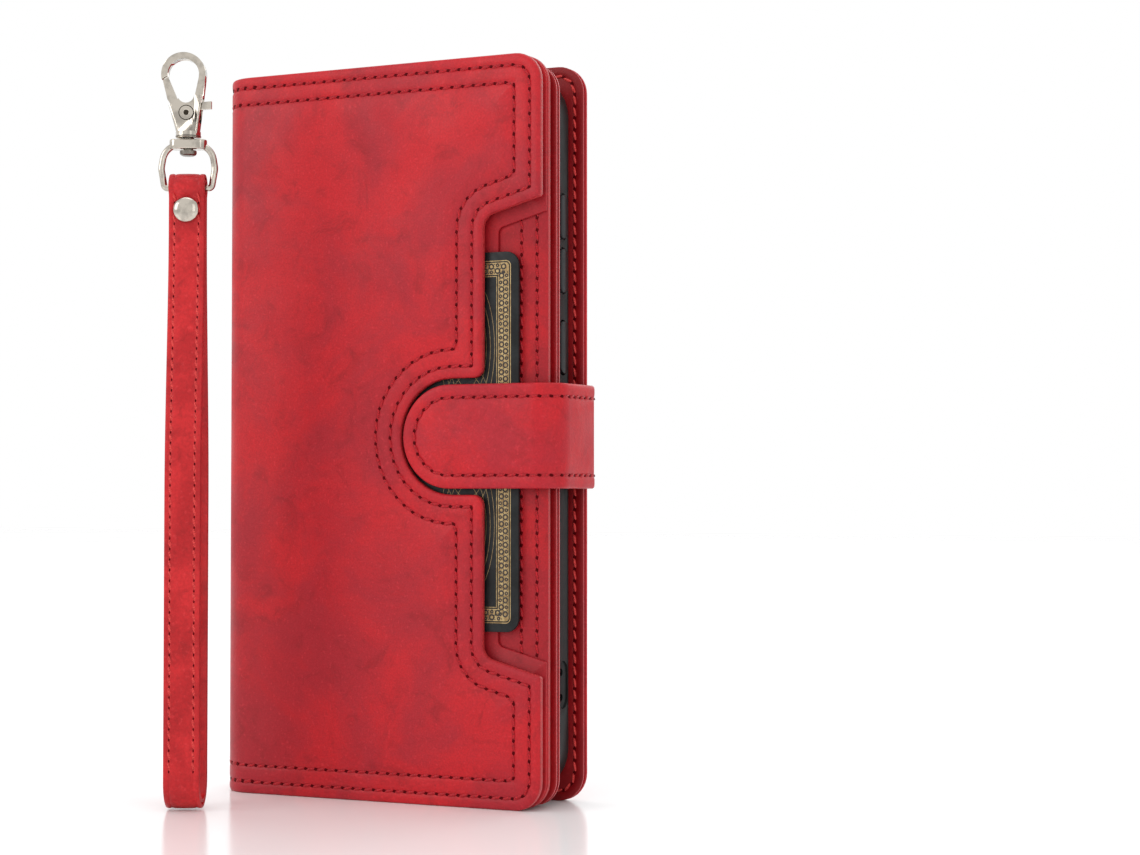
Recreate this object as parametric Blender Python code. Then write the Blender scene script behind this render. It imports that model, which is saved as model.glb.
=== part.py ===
"""Folio wallet case for a phone, with its wrist strap, as separate pieces.

The closed case stands on its lower edge: +Z up, +X towards the opening side,
-Y towards the front cover.  The origin is on the lower edge of the back
cover's outer leather, half way along it and half way through it.
Sizes are in millimetres here and become metres when a mesh is made.
"""
import math

import bmesh
import bpy
from mathutils import Matrix, Vector

MM = 0.001

# Overall sizes
HEIGHT = 169.5              # covers, lower edge to upper edge
EDGE_X = 43.0               # opening edge of the covers
SPINE_X = -44.0             # outermost face of the spine
GAP = 0.3                   # room between pieces that lie against each other
FOLD_GAP = 0.25             # taken off each side of a fold
CORNER_R = 6.5              # free corners of the covers

# Layers, back to front
LEATHER = 0.9               # outer leather of both covers and the spine
BACK_BOARD = 0.6
BACK_LINING = 0.6
SHELL_FLOOR = 0.9
PHONE_THICK = 7.8
SHELL_LIP = 0.7
PAGE_LEATHER = 0.5
PAGE_BOARD = 0.5
POCKET_STEP = 0.3           # each card slot of the page stands this much higher
FRONT_LINING = 0.5
FRONT_BOARD = 0.5
FRONT_BASE = 0.7
FRONT_FRAME = 0.5
CARD_THICK = 0.8
FRONT_PADDING = 0.6

# Spine and its corners
BACK_CORNER_TILT = math.radians(35.0)   # flat that carries the eyelet
BACK_CORNER_FLAT = 6.5
BACK_CORNER_R1 = 5.0                    # from the back to the flat
BACK_CORNER_R2 = 3.0                    # from the flat to the spine
BACK_FOLD_ANGLE = math.radians(75.0)    # where the back cover ends and folds
FRONT_CORNER_R = 8.4
FRONT_FOLD_ANGLE = math.radians(45.0)   # where the front cover ends and folds
SPINE_LINING = 0.6

# Phone and its shell
PHONE_WIDTH = 75.6
PHONE_HEIGHT = 161.5
PHONE_CORNER_R = 8.2
SHELL_WALL = 1.3
SHELL_MARGIN = 2.7          # back cover beyond the shell, opening side
SHELL_LIP_IN = 0.8          # the lip reaches this far over the phone
SHELL_BACK_ROUND = 2.5
PORT_WIDTH, PORT_HEIGHT = 12.0, 5.6
SPEAKER_WIDTH, SPEAKER_HEIGHT = 14.0, 3.4
SPEAKER_X = 20.0
JACK_R = 2.6
JACK_X = -20.0
LANYARD_Z = (24.2, 29.9)
LANYARD_HOLE_R = 0.9
LANYARD_RECESS_R = 2.6
LANYARD_RECESS_DEEP = 0.5

# Buttons: name, lowest and highest point
BUTTONS = (("power_button", 97.8, 110.0),
           ("volume_down_button", 116.4, 126.6),
           ("volume_up_button", 128.8, 139.0))
BUTTON_WIDTH = 3.6
BUTTON_PROUD = 0.5

# Camera cut-out of the back cover
CAMERA_IN = 4.6             # from the opening edge
CAMERA_WIDTH = 21.2
CAMERA_TOP = 3.5            # below the upper edge
CAMERA_HEIGHT = 53.0
CAMERA_CORNER_R = 9.0
CAMERA_SMALL_R = 0.9
CAMERA_CHAMFER = (5.1, 7.0)
CAMERA_CHAMFER_R = 3.0
FLASH_X_IN = 29.5           # centre of the flash notch from the opening edge
FLASH_TOP = 16.0            # centre below the upper edge
FLASH_R = 3.8
FLASH_FILLET_R = 3.0
CAMERA_RIM = 1.5            # the shell shows this much inside the leather

# Page
PAGE_EDGE_IN = 1.0
PAGE_LOW, PAGE_SHORT = 0.3, 1.6
PAGE_PIN_IN = 3.0           # turning line of the page from the spine's outside
PAGE_START = 4.9            # boards of the page from the spine's outside
PAGE_CORNER_R = 6.0
SLOT_STARTS = (137.0, 119.0, 103.5)     # upper edges of the card slots
SLOT_LOW = 4.0
SLOT_SIDE_IN = 1.5

# Window of the front cover
WINDOW_Z = 83.5             # its middle
WINDOW_X = 27.2             # its long inner edge
WINDOW_HALF = 49.5          # half height at that edge
WINDOW_HALF_OUT = 53.9      # half height at the opening edge
WINDOW_CORNER_R = 3.2
NOTCH_R = 13.2              # round the closure tongue
NOTCH_X = 19.2
NOTCH_FILLET_R = 2.4
FRAME_IN = 2.4              # the inner frame shows this much
FRONT_EDGE_IN = 1.2
FRONT_LINING_IN = 1.3       # the lining stops this far inside the edge

# Card in the front pocket
CARD_WIDTH, CARD_HEIGHT = 53.98, 85.6
CARD_R = 3.2
CARD_EDGE_IN = 7.6
CARD_LOW = 39.5

# Closure
TAB_HALF = 11.8             # half width of the tongue
TAB_TIP_X = 18.6            # centre of its round end
TAB_OUT = 3.0               # how far it stands out beside the covers
TAB_LEATHER = 0.6
TAB_LINING = 0.4
TAB_MAGNET = 0.5
TAB_ROUND = 6.5             # its soft bend at the front
TAB_HOOK_R = 2.0            # its tight bend at the back
TAB_ROOT_LENGTH = 8.0
MAGNET_R = 5.0
MAGNET_X = 19.5
PLATE_HALF = (7.0, 7.0)

# Eyelet
EYELET_Z = 9.9
EYELET_OUT_R = 4.5
EYELET_BORE_R = 2.75
EYELET_BARREL_WALL = 0.45
EYELET_FLANGE = 0.6
EYELET_SEAT = 0.45          # the flange stands this far off the leather
WASHER_R = 4.0
WASHER_THICK = 0.35
WASHER_SEAT = 0.5

# Wrist strap, standing beside the case and turned towards the viewer
STRAP_PLACE = (-32.6, -50.8)
STRAP_TURN = math.radians(26.0)
STRAP_WIDTH = 8.0
STRAP_LEATHER = 0.8
BAND_GAP = 0.4              # between the two leather layers
STRAP_BOTTOM = 0.3
STRAP_TOP = 142.6
STRAP_HALF_GAP = 4.3        # half the room inside the loop at its widest
STRAP_HALF_PINCH = 0.2      # half the room at the rivet
RIVET_Z = 134.3
RIVET_R = 2.9
RIVET_POST_R = 1.0
RIVET_DOME = 1.1
RING_WIRE_R = 0.75
RING_HALF = 6.0
BAR_GAP = 0.4               # room round the bar inside the fold
RING_BAR_TOP = 150.4
RING_BAR_HALF = (4.2, 1.9)  # boss of the top bar, half length and half depth
RING_BAR_HEIGHT = 2.2
POST_R = 1.1
POST_HEAD_R = 1.9
POST_HEAD = 1.2
COLLAR_LOW = 150.8
COLLAR_R = 2.8
COLLAR_HEIGHT = 1.3
CLASP_THICK = 4.0
HOOK_THICK = 2.6
HOOK_C = (-1.0, 14.3)       # from the foot of the collar: across, up
HOOK_R = 5.0
HOOK_HOLE_R = 3.55
THROAT_C = (-0.3, 9.6)
THROAT_R = 1.9
PIN_C = (-0.2, 5.5)
PIN_R = 0.6
GATE_REACH = 9.15            # from the pin to the gate's tip
LEVER_SLOT = 2.6
LEVER_THICK = 1.1


def point(x, y):
    return Vector((x, y))


def arc(centre, radius, start, end, steps):
    """Points on an arc, angles in degrees, both ends included."""
    cx, cy = centre
    angles = [math.radians(start + (end - start) * i / steps) for i in range(steps + 1)]
    return [point(cx + radius * math.cos(a), cy + radius * math.sin(a)) for a in angles]


def rounded(corners, steps=5):
    """A closed outline from (x, y, radius) corners; each corner gets its arc."""
    outline = []
    count = len(corners)
    for i, (x, y, radius) in enumerate(corners):
        here = point(x, y)
        if radius <= 0.0:
            outline.append(here)
            continue
        back = (point(*corners[i - 1][:2]) - here).normalized()
        ahead = (point(*corners[(i + 1) % count][:2]) - here).normalized()
        half = math.acos(max(-1.0, min(1.0, back.dot(ahead)))) / 2.0
        centre = here + (back + ahead).normalized() * (radius / math.sin(half))
        start = here + back * (radius / math.tan(half)) - centre
        end = here + ahead * (radius / math.tan(half)) - centre
        turn = math.atan2(start.x * end.y - start.y * end.x, start.dot(end))
        for k in range(steps + 1):
            spun = Matrix.Rotation(turn * k / steps, 2) @ start
            outline.append(centre + spun)
    return outline


def box_corners(low_x, high_x, low_z, high_z, left_r=0.0, right_r=0.0):
    return [(low_x, low_z, left_r), (high_x, low_z, right_r),
            (high_x, high_z, right_r), (low_x, high_z, left_r)]


def side_of(path, distance):
    """The path moved sideways to its left by a distance."""
    moved = []
    for i, here in enumerate(path):
        before = path[max(i - 1, 0)]
        after = path[min(i + 1, len(path) - 1)]
        along = (after - before).normalized()
        moved.append(here + point(-along.y, along.x) * distance)
    return moved


def band(path, left, right):
    """A closed outline between two sides of an open path."""
    return side_of(path, left) + list(reversed(side_of(path, right)))


def hull_of_circles(c1, r1, c2, r2, steps=14):
    """Outline round a large circle and a smaller one, joined by tangents."""
    gap = point(*c2) - point(*c1)
    towards = math.degrees(math.atan2(gap.y, gap.x))
    open_angle = math.degrees(math.acos((r1 - r2) / gap.length))
    return (arc(c1, r1, towards + open_angle, towards + 360.0 - open_angle, steps)
            + arc(c2, r2, towards - open_angle, towards + open_angle, steps // 2))


# Depths of the layers, worked out from the back face towards the front
class Depth:
    """Back and front face of each layer, in y."""

    def __init__(self):
        self.at = LEATHER / 2.0
        self.faces = {}

    def layer(self, name, thickness, gap=GAP):
        self.faces[name] = (self.at, self.at - thickness)
        self.at -= thickness + gap

    def __getitem__(self, name):
        return self.faces[name]


depth = Depth()
depth.layer("back_leather", LEATHER)
depth.layer("back_board", BACK_BOARD)
depth.layer("back_lining", BACK_LINING)
depth.layer("shell", SHELL_FLOOR + PHONE_THICK + SHELL_LIP)
depth.layer("page_back_leather", PAGE_LEATHER)
depth.layer("page_board", PAGE_BOARD)
depth.layer("page_front_leather", PAGE_LEATHER)
depth.layer("page_pockets", 3 * POCKET_STEP)
depth.layer("front_lining", FRONT_LINING)
depth.layer("front_board", FRONT_BOARD)
depth.layer("front_base", FRONT_BASE)
depth.layer("front_frame", FRONT_FRAME)
depth.layer("card", CARD_THICK)
depth.layer("front_padding", FRONT_PADDING)
depth.layer("front_leather", LEATHER)

BACK_Y = depth["back_leather"][0]
FRONT_Y = depth["front_leather"][1]

# Back corner of the spine: arc, flat for the eyelet, arc
TILT = BACK_CORNER_TILT
BACK_CORNER_DX = (BACK_CORNER_R1 * math.sin(TILT) + BACK_CORNER_FLAT * math.cos(TILT)
                  + BACK_CORNER_R2 * (1.0 - math.sin(TILT)))
BACK_CORNER_DY = (BACK_CORNER_R1 * (1.0 - math.cos(TILT)) + BACK_CORNER_FLAT * math.sin(TILT)
                  + BACK_CORNER_R2 * math.cos(TILT))
BACK_FLAT_X = SPINE_X + BACK_CORNER_DX
ARC1_C = (BACK_FLAT_X, BACK_Y - BACK_CORNER_R1)
ARC2_C = (SPINE_X + BACK_CORNER_R2, BACK_Y - BACK_CORNER_DY)
FRONT_FLAT_X = SPINE_X + FRONT_CORNER_R
FRONT_ARC_C = (FRONT_FLAT_X, FRONT_Y + FRONT_CORNER_R)
BACK_FOLD = point(ARC2_C[0] - BACK_CORNER_R2 * math.sin(BACK_FOLD_ANGLE),
                  ARC2_C[1] + BACK_CORNER_R2 * math.cos(BACK_FOLD_ANGLE))
FRONT_FOLD = point(FRONT_ARC_C[0] - FRONT_CORNER_R * math.sin(FRONT_FOLD_ANGLE),
                   FRONT_ARC_C[1] - FRONT_CORNER_R * math.cos(FRONT_FOLD_ANGLE))
PAGE_FOLD = point(SPINE_X + PAGE_PIN_IN,
                  (depth["page_back_leather"][0] + depth["page_front_leather"][1]) / 2.0)
BOARD_Y = sum(depth["back_board"]) / 2.0
TAB_HINGE = point(EDGE_X + GAP, BOARD_Y)


# ---------------------------------------------------------------- Blender side
def clear_scene():
    for thing in list(bpy.data.objects):
        bpy.data.objects.remove(thing, do_unlink=True)


def finish(name, colour, roughness, metallic=0.0):
    """One material of a piece."""
    made = bpy.data.materials.new(name)
    made.use_nodes = True
    shader = made.node_tree.nodes["Principled BSDF"]
    shader.inputs["Base Color"].default_value = (*colour, 1.0)
    shader.inputs["Roughness"].default_value = roughness
    shader.inputs["Metallic"].default_value = metallic
    made.diffuse_color = (*colour, 1.0)
    return made


LOOKS = {"leather": ((0.58, 0.03, 0.05), 0.5, 0.0),
         "lining": ((0.33, 0.01, 0.02), 0.6, 0.0),
         "strap": ((0.62, 0.035, 0.04), 0.5, 0.0),
         "board": ((0.55, 0.5, 0.42), 0.9, 0.0),
         "foam": ((0.8, 0.8, 0.78), 0.95, 0.0),
         "shell": ((0.03, 0.033, 0.036), 0.45, 0.0),
         "card": ((0.03, 0.03, 0.035), 0.35, 0.0),
         "nickel": ((0.75, 0.73, 0.7), 0.22, 1.0),
         "steel": ((0.55, 0.56, 0.57), 0.35, 1.0)}


def new_object(name, mesh, look=None):
    made = bpy.data.objects.new(name, mesh)
    bpy.context.scene.collection.objects.link(made)
    if look:
        colour, roughness, metallic = LOOKS[look]
        mesh.materials.append(finish(name + "_finish", colour, roughness, metallic))
    return made


def to_object(bm, name, look):
    """Turn a bmesh in millimetres into an object in metres, faces outward."""
    bmesh.ops.recalc_face_normals(bm, faces=bm.faces)
    bmesh.ops.scale(bm, vec=(MM, MM, MM), verts=bm.verts)
    mesh = bpy.data.meshes.new(name)
    bm.to_mesh(mesh)
    bm.free()
    mesh.shade_smooth()
    mesh.set_sharp_from_angle(angle=math.radians(35.0))
    return new_object(name, mesh, look)


def prism_mesh(outline, low, high, axis):
    """Extrude an outline along an axis; the outline is in the other two axes."""
    lift = {"X": lambda p, d: (d, p.x, p.y),
            "Y": lambda p, d: (p.x, d, p.y),
            "Z": lambda p, d: (p.x, p.y, d)}[axis]
    bm = bmesh.new()
    face = bm.faces.new([bm.verts.new(lift(p, low)) for p in outline])
    grown = bmesh.ops.extrude_face_region(bm, geom=[face])
    step = Vector(lift(point(0.0, 0.0), high - low))
    moved = [v for v in grown["geom"] if isinstance(v, bmesh.types.BMVert)]
    bmesh.ops.translate(bm, vec=step, verts=moved)
    return bm


def prism(name, outline, low, high, axis="Y", look=None):
    return to_object(prism_mesh(outline, low, high, axis), name, look)


def combine(target, guide, operation):
    """Join or cut a piece with a guide that travels with it."""
    guide.hide_render = True
    guide.display_type = "WIRE"
    if guide.parent is None:
        guide.parent = target
    change = target.modifiers.new("with_" + guide.name, "BOOLEAN")
    change.operation = operation
    change.solver = "EXACT"
    change.object = guide
    return target


def trim(target, guide, keep_inside=False):
    """Cut a piece with a guide, or keep only what lies inside the guide."""
    return combine(target, guide, "INTERSECT" if keep_inside else "DIFFERENCE")


def plate(name, outline, faces, look):
    """A flat layer of the case: outline in x and z, between two depths."""
    return prism(name, outline, faces[1], faces[0], "Y", look)


def rod(name, centre, axis, radius, low, high, look=None, sides=24):
    """A round bar along a direction, from low to high, through a centre."""
    bm = bmesh.new()
    bmesh.ops.create_cone(bm, cap_ends=True, segments=sides, radius1=radius, radius2=radius,
                          depth=high - low, matrix=Matrix.Translation((0, 0, (low + high) / 2)))
    turn = Vector((0, 0, 1)).rotation_difference(Vector(axis)).to_matrix().to_4x4()
    bmesh.ops.transform(bm, matrix=Matrix.Translation(centre) @ turn, verts=bm.verts)
    return to_object(bm, name, look)


def turned(name, profile, look, sides=24):
    """A piece turned about Z from (radius, height) points, ends on the axis."""
    bm = bmesh.new()
    verts = [bm.verts.new((r, 0.0, h)) for r, h in profile]
    edges = [bm.edges.new(pair) for pair in zip(verts, verts[1:])]
    bmesh.ops.spin(bm, geom=verts + edges, axis=(0, 0, 1), cent=(0, 0, 0),
                   steps=sides, angle=math.tau, use_merge=True)
    bmesh.ops.remove_doubles(bm, verts=bm.verts, dist=1e-4)
    return to_object(bm, name, look)


def move(thing, matrix):
    """Place a made piece by its object's matrix, given in millimetres."""
    placed = matrix.copy()
    placed.translation = placed.translation * MM
    thing.matrix_world = placed @ thing.matrix_world
    return thing


# -------------------------------------------------------------------- outlines
def cover_outline(edge_x, low=0.0, high=HEIGHT, left=SPINE_X - 1.0, radius=CORNER_R):
    return rounded(box_corners(left, edge_x, low, high, right_r=radius))


def back_corner_path():
    """Outer face of the back cover, from the opening edge round the corner."""
    start = 90.0
    tilt = math.degrees(TILT)
    fold = math.degrees(BACK_FOLD_ANGLE)
    return ([point(EDGE_X + 1.0, BACK_Y)] + arc(ARC1_C, BACK_CORNER_R1, start, start + tilt, 4)
            + arc(ARC2_C, BACK_CORNER_R2, start + tilt, start + fold, 4))


def front_corner_path():
    """Outer face of the front cover, from its fold to the opening edge."""
    fold = 270.0 - math.degrees(FRONT_FOLD_ANGLE)
    return arc(FRONT_ARC_C, FRONT_CORNER_R, fold, 270.0, 6) + [point(EDGE_X + 1.0, FRONT_Y)]


def spine_path():
    """Outer face of the spine between the two folds."""
    return (arc(ARC2_C, BACK_CORNER_R2, 90.0 + math.degrees(BACK_FOLD_ANGLE), 180.0, 3)
            + arc(FRONT_ARC_C, FRONT_CORNER_R, 180.0, 270.0 - math.degrees(FRONT_FOLD_ANGLE), 6))


def shortened(path, start, end):
    """The open path with a length taken off each end."""
    path = list(path)
    path[0] = path[0] + (path[1] - path[0]).normalized() * start
    path[-1] = path[-1] + (path[-2] - path[-1]).normalized() * end
    return path


def window_outline(offset=0.0):
    """Window of the front cover; a positive offset makes it larger."""
    half = WINDOW_HALF + offset
    out_half = WINDOW_HALF_OUT + offset
    left = WINDOW_X - offset
    reach = NOTCH_R + offset
    slope = (out_half - half) / (EDGE_X - WINDOW_X)
    far = EDGE_X + 4.0
    far_half = half + slope * (far - left)
    corners = [(far, WINDOW_Z - far_half, 0.0),
               (left, WINDOW_Z - half, WINDOW_CORNER_R),
               (left, WINDOW_Z - reach, NOTCH_FILLET_R)]
    lower = rounded([(far, WINDOW_Z, 0.0)] + corners + [(NOTCH_X, WINDOW_Z - reach, 0.0)])[1:]
    upper = [point(p.x, 2.0 * WINDOW_Z - p.y) for p in reversed(lower)]
    notch = arc((NOTCH_X, WINDOW_Z), reach, 270.0, 90.0, 14)
    return lower[:-1] + notch + upper[1:]


def camera_outline(offset=0.0):
    """Camera cut-out in x and z; a positive offset makes it smaller."""
    right = EDGE_X - CAMERA_IN - offset
    left = EDGE_X - CAMERA_IN - CAMERA_WIDTH + offset
    high = HEIGHT - CAMERA_TOP - offset
    low = HEIGHT - CAMERA_TOP - CAMERA_HEIGHT + offset
    dx, dz = CAMERA_CHAMFER
    small = CAMERA_SMALL_R
    flash = (EDGE_X - FLASH_X_IN, HEIGHT - FLASH_TOP)
    reach = FLASH_R - offset
    return (rounded([(left, low + dz, CAMERA_CHAMFER_R), (left + dx, low, CAMERA_CHAMFER_R),
                     (right, low, small), (right, high, CAMERA_CORNER_R - offset),
                     (left, high, small), (left, flash[1] + reach, FLASH_FILLET_R),
                     (flash[0], flash[1] + reach, 0.0)])[:-1]
            + arc(flash, reach, 90.0, 270.0, 8)
            + rounded([(flash[0], flash[1] - reach, 0.0), (left, flash[1] - reach, FLASH_FILLET_R),
                       (left, low + dz, 0.0)])[1:-1])


def shell_outline(inset=0.0, radius=None):
    right = EDGE_X - SHELL_MARGIN - inset
    left = EDGE_X - SHELL_MARGIN - PHONE_WIDTH - 2.0 * SHELL_WALL + inset
    tall = PHONE_HEIGHT + 2.0 * SHELL_WALL
    low = (HEIGHT - tall) / 2.0 + inset
    high = (HEIGHT + tall) / 2.0 - inset
    radius = PHONE_CORNER_R + SHELL_WALL - inset if radius is None else radius
    return rounded(box_corners(left, right, low, high, radius, radius), 7)


# ------------------------------------------------------------------ back cover
def eyelet_axis():
    """A point on the eyelet's line at the leather's outer face, and its way out."""
    way = Vector((-math.sin(TILT), math.cos(TILT), 0.0))
    along = Vector((-math.cos(TILT), -math.sin(TILT), 0.0))
    start = Vector((*ARC1_C, 0.0)) + way * BACK_CORNER_R1
    middle = start + along * (BACK_CORNER_FLAT / 2.0)
    return Vector((middle.x, middle.y, EYELET_Z)), way


def make_back_cover():
    path = shortened(back_corner_path(), 0.0, FOLD_GAP)
    leather = prism("back_leather", band(path, 0.0, LEATHER), 0.0, HEIGHT, "Z", "leather")
    blank = prism("back_blank", cover_outline(EDGE_X, -0.0), BACK_Y + 2.0, BACK_Y - 20.0)
    trim(leather, blank, keep_inside=True)
    hole = prism("camera_guide", camera_outline(), BACK_Y + 3.0, depth["back_lining"][1] - 0.1)
    trim(leather, hole)
    middle, way = eyelet_axis()
    barrel_r = EYELET_BORE_R + EYELET_BARREL_WALL
    trim(leather, rod("eyelet_guide", middle, way, barrel_r + GAP + 0.05, -4.0, 4.0, sides=32))

    inner_left = BACK_FLAT_X + GAP
    board = plate("back_board", rounded(box_corners(inner_left + 2.0, EDGE_X - 3.0, 3.0, HEIGHT - 3.0,
                                                    1.0, 4.0)), depth["back_board"], "board")
    trim(board, prism("board_camera_guide", camera_outline(-1.0), BACK_Y + 3.0, BACK_Y - 4.0))
    root_room = rounded(box_corners(EDGE_X - TAB_ROOT_LENGTH - 2 * GAP, EDGE_X + 2.0,
                                    WINDOW_Z - TAB_HALF - GAP, WINDOW_Z + TAB_HALF + GAP))
    trim(board, prism("tab_root_guide", root_room, BACK_Y + 3.0, BACK_Y - 4.0))

    lining = plate("back_lining", cover_outline(EDGE_X, left=inner_left), depth["back_lining"], "lining")
    trim(lining, hole)

    root = box_corners(EDGE_X - TAB_ROOT_LENGTH, EDGE_X - GAP, WINDOW_Z - TAB_HALF, WINDOW_Z + TAB_HALF)
    plate("tab_root", rounded(root), depth["back_board"], "leather")


def make_eyelet():
    middle, way = eyelet_axis()
    turn = Vector((0, 0, 1)).rotation_difference(way).to_matrix().to_4x4()
    place = Matrix.Translation(middle) @ turn
    barrel_r = EYELET_BORE_R + EYELET_BARREL_WALL
    foot = -LEATHER - WASHER_SEAT - WASHER_THICK - GAP
    seat, face = EYELET_SEAT, EYELET_SEAT + EYELET_FLANGE
    ring = [(EYELET_BORE_R, foot), (barrel_r, foot), (barrel_r, seat), (EYELET_OUT_R, seat),
            (EYELET_OUT_R, seat + EYELET_FLANGE * 0.4), (EYELET_OUT_R - 0.5, face),
            (EYELET_BORE_R + 0.4, face), (EYELET_BORE_R, seat + EYELET_FLANGE * 0.5)]
    move(turned("eyelet", ring + ring[:1], "nickel", 32), place)
    high = -LEATHER - WASHER_SEAT
    inner = barrel_r + GAP
    washer = [(inner, high - WASHER_THICK), (WASHER_R, high - WASHER_THICK),
              (WASHER_R, high), (inner, high)]
    move(turned("eyelet_washer", washer + washer[:1], "nickel", 32), place)


def make_shell():
    back, front = depth["shell"]
    shell = plate("phone_shell", shell_outline(), (back, front), "shell")
    soften_rim(shell, back, SHELL_BACK_ROUND, 4)
    bay = prism("phone_bay_guide", shell_outline(SHELL_WALL), back - SHELL_FLOOR,
                back - SHELL_FLOOR - PHONE_THICK)
    trim(shell, bay)
    mouth = prism("shell_mouth_guide", shell_outline(SHELL_WALL + SHELL_LIP_IN),
                  back - SHELL_FLOOR - PHONE_THICK + 1.0, front - 2.0)
    trim(shell, mouth)
    trim(shell, prism("shell_camera_guide", camera_outline(CAMERA_RIM), back + 2.0,
                      back - SHELL_FLOOR - 1.0))
    middle_x = EDGE_X - SHELL_MARGIN - SHELL_WALL - PHONE_WIDTH / 2.0
    bay_y = back - SHELL_FLOOR - PHONE_THICK / 2.0
    for name, x, width, high in (("port", 0.0, PORT_WIDTH, PORT_HEIGHT),
                                 ("speaker", SPEAKER_X, SPEAKER_WIDTH, SPEAKER_HEIGHT),
                                 ("jack", JACK_X, 2 * JACK_R, 2 * JACK_R)):
        half = high / 2.0 - 0.01
        slot = rounded(box_corners(middle_x + x - width / 2.0, middle_x + x + width / 2.0,
                                   bay_y - high / 2.0, bay_y + high / 2.0, half, half))
        trim(shell, prism(name + "_guide", slot, -1.0, shell_low() + SHELL_WALL + 1.0, "Z"))
    for name, low, high in BUTTONS:
        trim(shell, prism(name + "_room", button_outline(low, high, GAP),
                          shell_right() - SHELL_WALL - 1.0, shell_right() + 1.0, "X"))
    recess = hull_of_circles((bay_y, LANYARD_Z[1]), LANYARD_RECESS_R + 0.01,
                             (bay_y, LANYARD_Z[0]), LANYARD_RECESS_R, 12)
    trim(shell, prism("lanyard_recess_guide", recess, shell_right() - LANYARD_RECESS_DEEP,
                      shell_right() + 1.0, "X"))
    for i, z in enumerate(LANYARD_Z):
        trim(shell, rod("lanyard_hole_guide_%d" % i, (shell_right(), bay_y, z), (1, 0, 0),
                        LANYARD_HOLE_R, -SHELL_WALL - 1.0, 1.0, sides=12))


def shell_right():
    return EDGE_X - SHELL_MARGIN


def shell_low():
    return (HEIGHT - PHONE_HEIGHT) / 2.0 - SHELL_WALL


def soften_rim(thing, y, radius, segments):
    """Round the outer rim of a plate at one depth."""
    bm = bmesh.new()
    bm.from_mesh(thing.data)
    rim = [e for e in bm.edges if all(abs(v.co.y / MM - y) < 1e-3 for v in e.verts)]
    bmesh.ops.bevel(bm, geom=rim, offset=radius * MM, segments=segments, profile=0.5,
                    affect="EDGES", material=-1)
    bm.to_mesh(thing.data)
    bm.free()


def button_outline(low, high, grow=0.0):
    bay_y = depth["shell"][0] - SHELL_FLOOR - PHONE_THICK / 2.0
    half = BUTTON_WIDTH / 2.0 + grow
    radius = half - 0.05
    return rounded([(bay_y - half, low - grow, radius), (bay_y + half, low - grow, radius),
                    (bay_y + half, high + grow, radius), (bay_y - half, high + grow, radius)])


def make_buttons():
    for name, low, high in BUTTONS:
        key = prism(name, button_outline(low, high), shell_right() - SHELL_WALL + GAP,
                    shell_right() + BUTTON_PROUD, "X", "shell")
        edge = key.modifiers.new("soft_edge", "BEVEL")
        edge.width = 0.3 * MM
        edge.segments = 2
        edge.limit_method = "ANGLE"


# ----------------------------------------------------------------------- spine
def make_spine():
    outer = shortened(spine_path(), FOLD_GAP, FOLD_GAP)
    prism("spine_leather", band(outer, 0.0, LEATHER), 0.0, HEIGHT, "Z", "leather")
    inner_face = LEATHER + GAP
    middle = [p for p in spine_path()][2:-3]
    inner = band(middle, inner_face, inner_face + SPINE_LINING)
    prism("spine_lining", inner, 1.0, HEIGHT - 1.0, "Z", "lining")
    strip_out = SPINE_X + inner_face + SPINE_LINING + GAP + 0.15
    strip = [point(strip_out, PAGE_FOLD.y - 1.6), point(strip_out + 0.5, PAGE_FOLD.y - 1.6),
             point(strip_out + 0.5, PAGE_FOLD.y + 1.6), point(strip_out, PAGE_FOLD.y + 1.6)]
    prism("page_hinge_strip", strip, 2.0, HEIGHT - 2.5, "Z", "lining")


def make_page():
    high = HEIGHT - PAGE_SHORT
    edge = EDGE_X - PAGE_EDGE_IN
    start = SPINE_X + PAGE_START
    for name, left, inset, look in (("page_front_leather", start - 0.6, 0.0, "lining"),
                                    ("page_board", start, 2.5, "board"),
                                    ("page_back_leather", start, 0.0, "lining")):
        outline = rounded(box_corners(left, edge - inset, PAGE_LOW + inset, high - inset,
                                      right_r=PAGE_CORNER_R - inset))
        plate(name, outline, depth[name], look)
    back = depth["page_pockets"][0]
    ends = SLOT_STARTS[1:] + (SLOT_LOW,)
    for i, (name, top, end) in enumerate(zip(("page_slot_upper", "page_slot_middle", "page_slot_lower"),
                                             SLOT_STARTS, ends)):
        low = end + GAP if i < 2 else end
        outline = rounded(box_corners(start + 3.0, edge - SLOT_SIDE_IN, low, top))
        plate(name, outline, (back, back - POCKET_STEP * (i + 1)), "lining")


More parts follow.
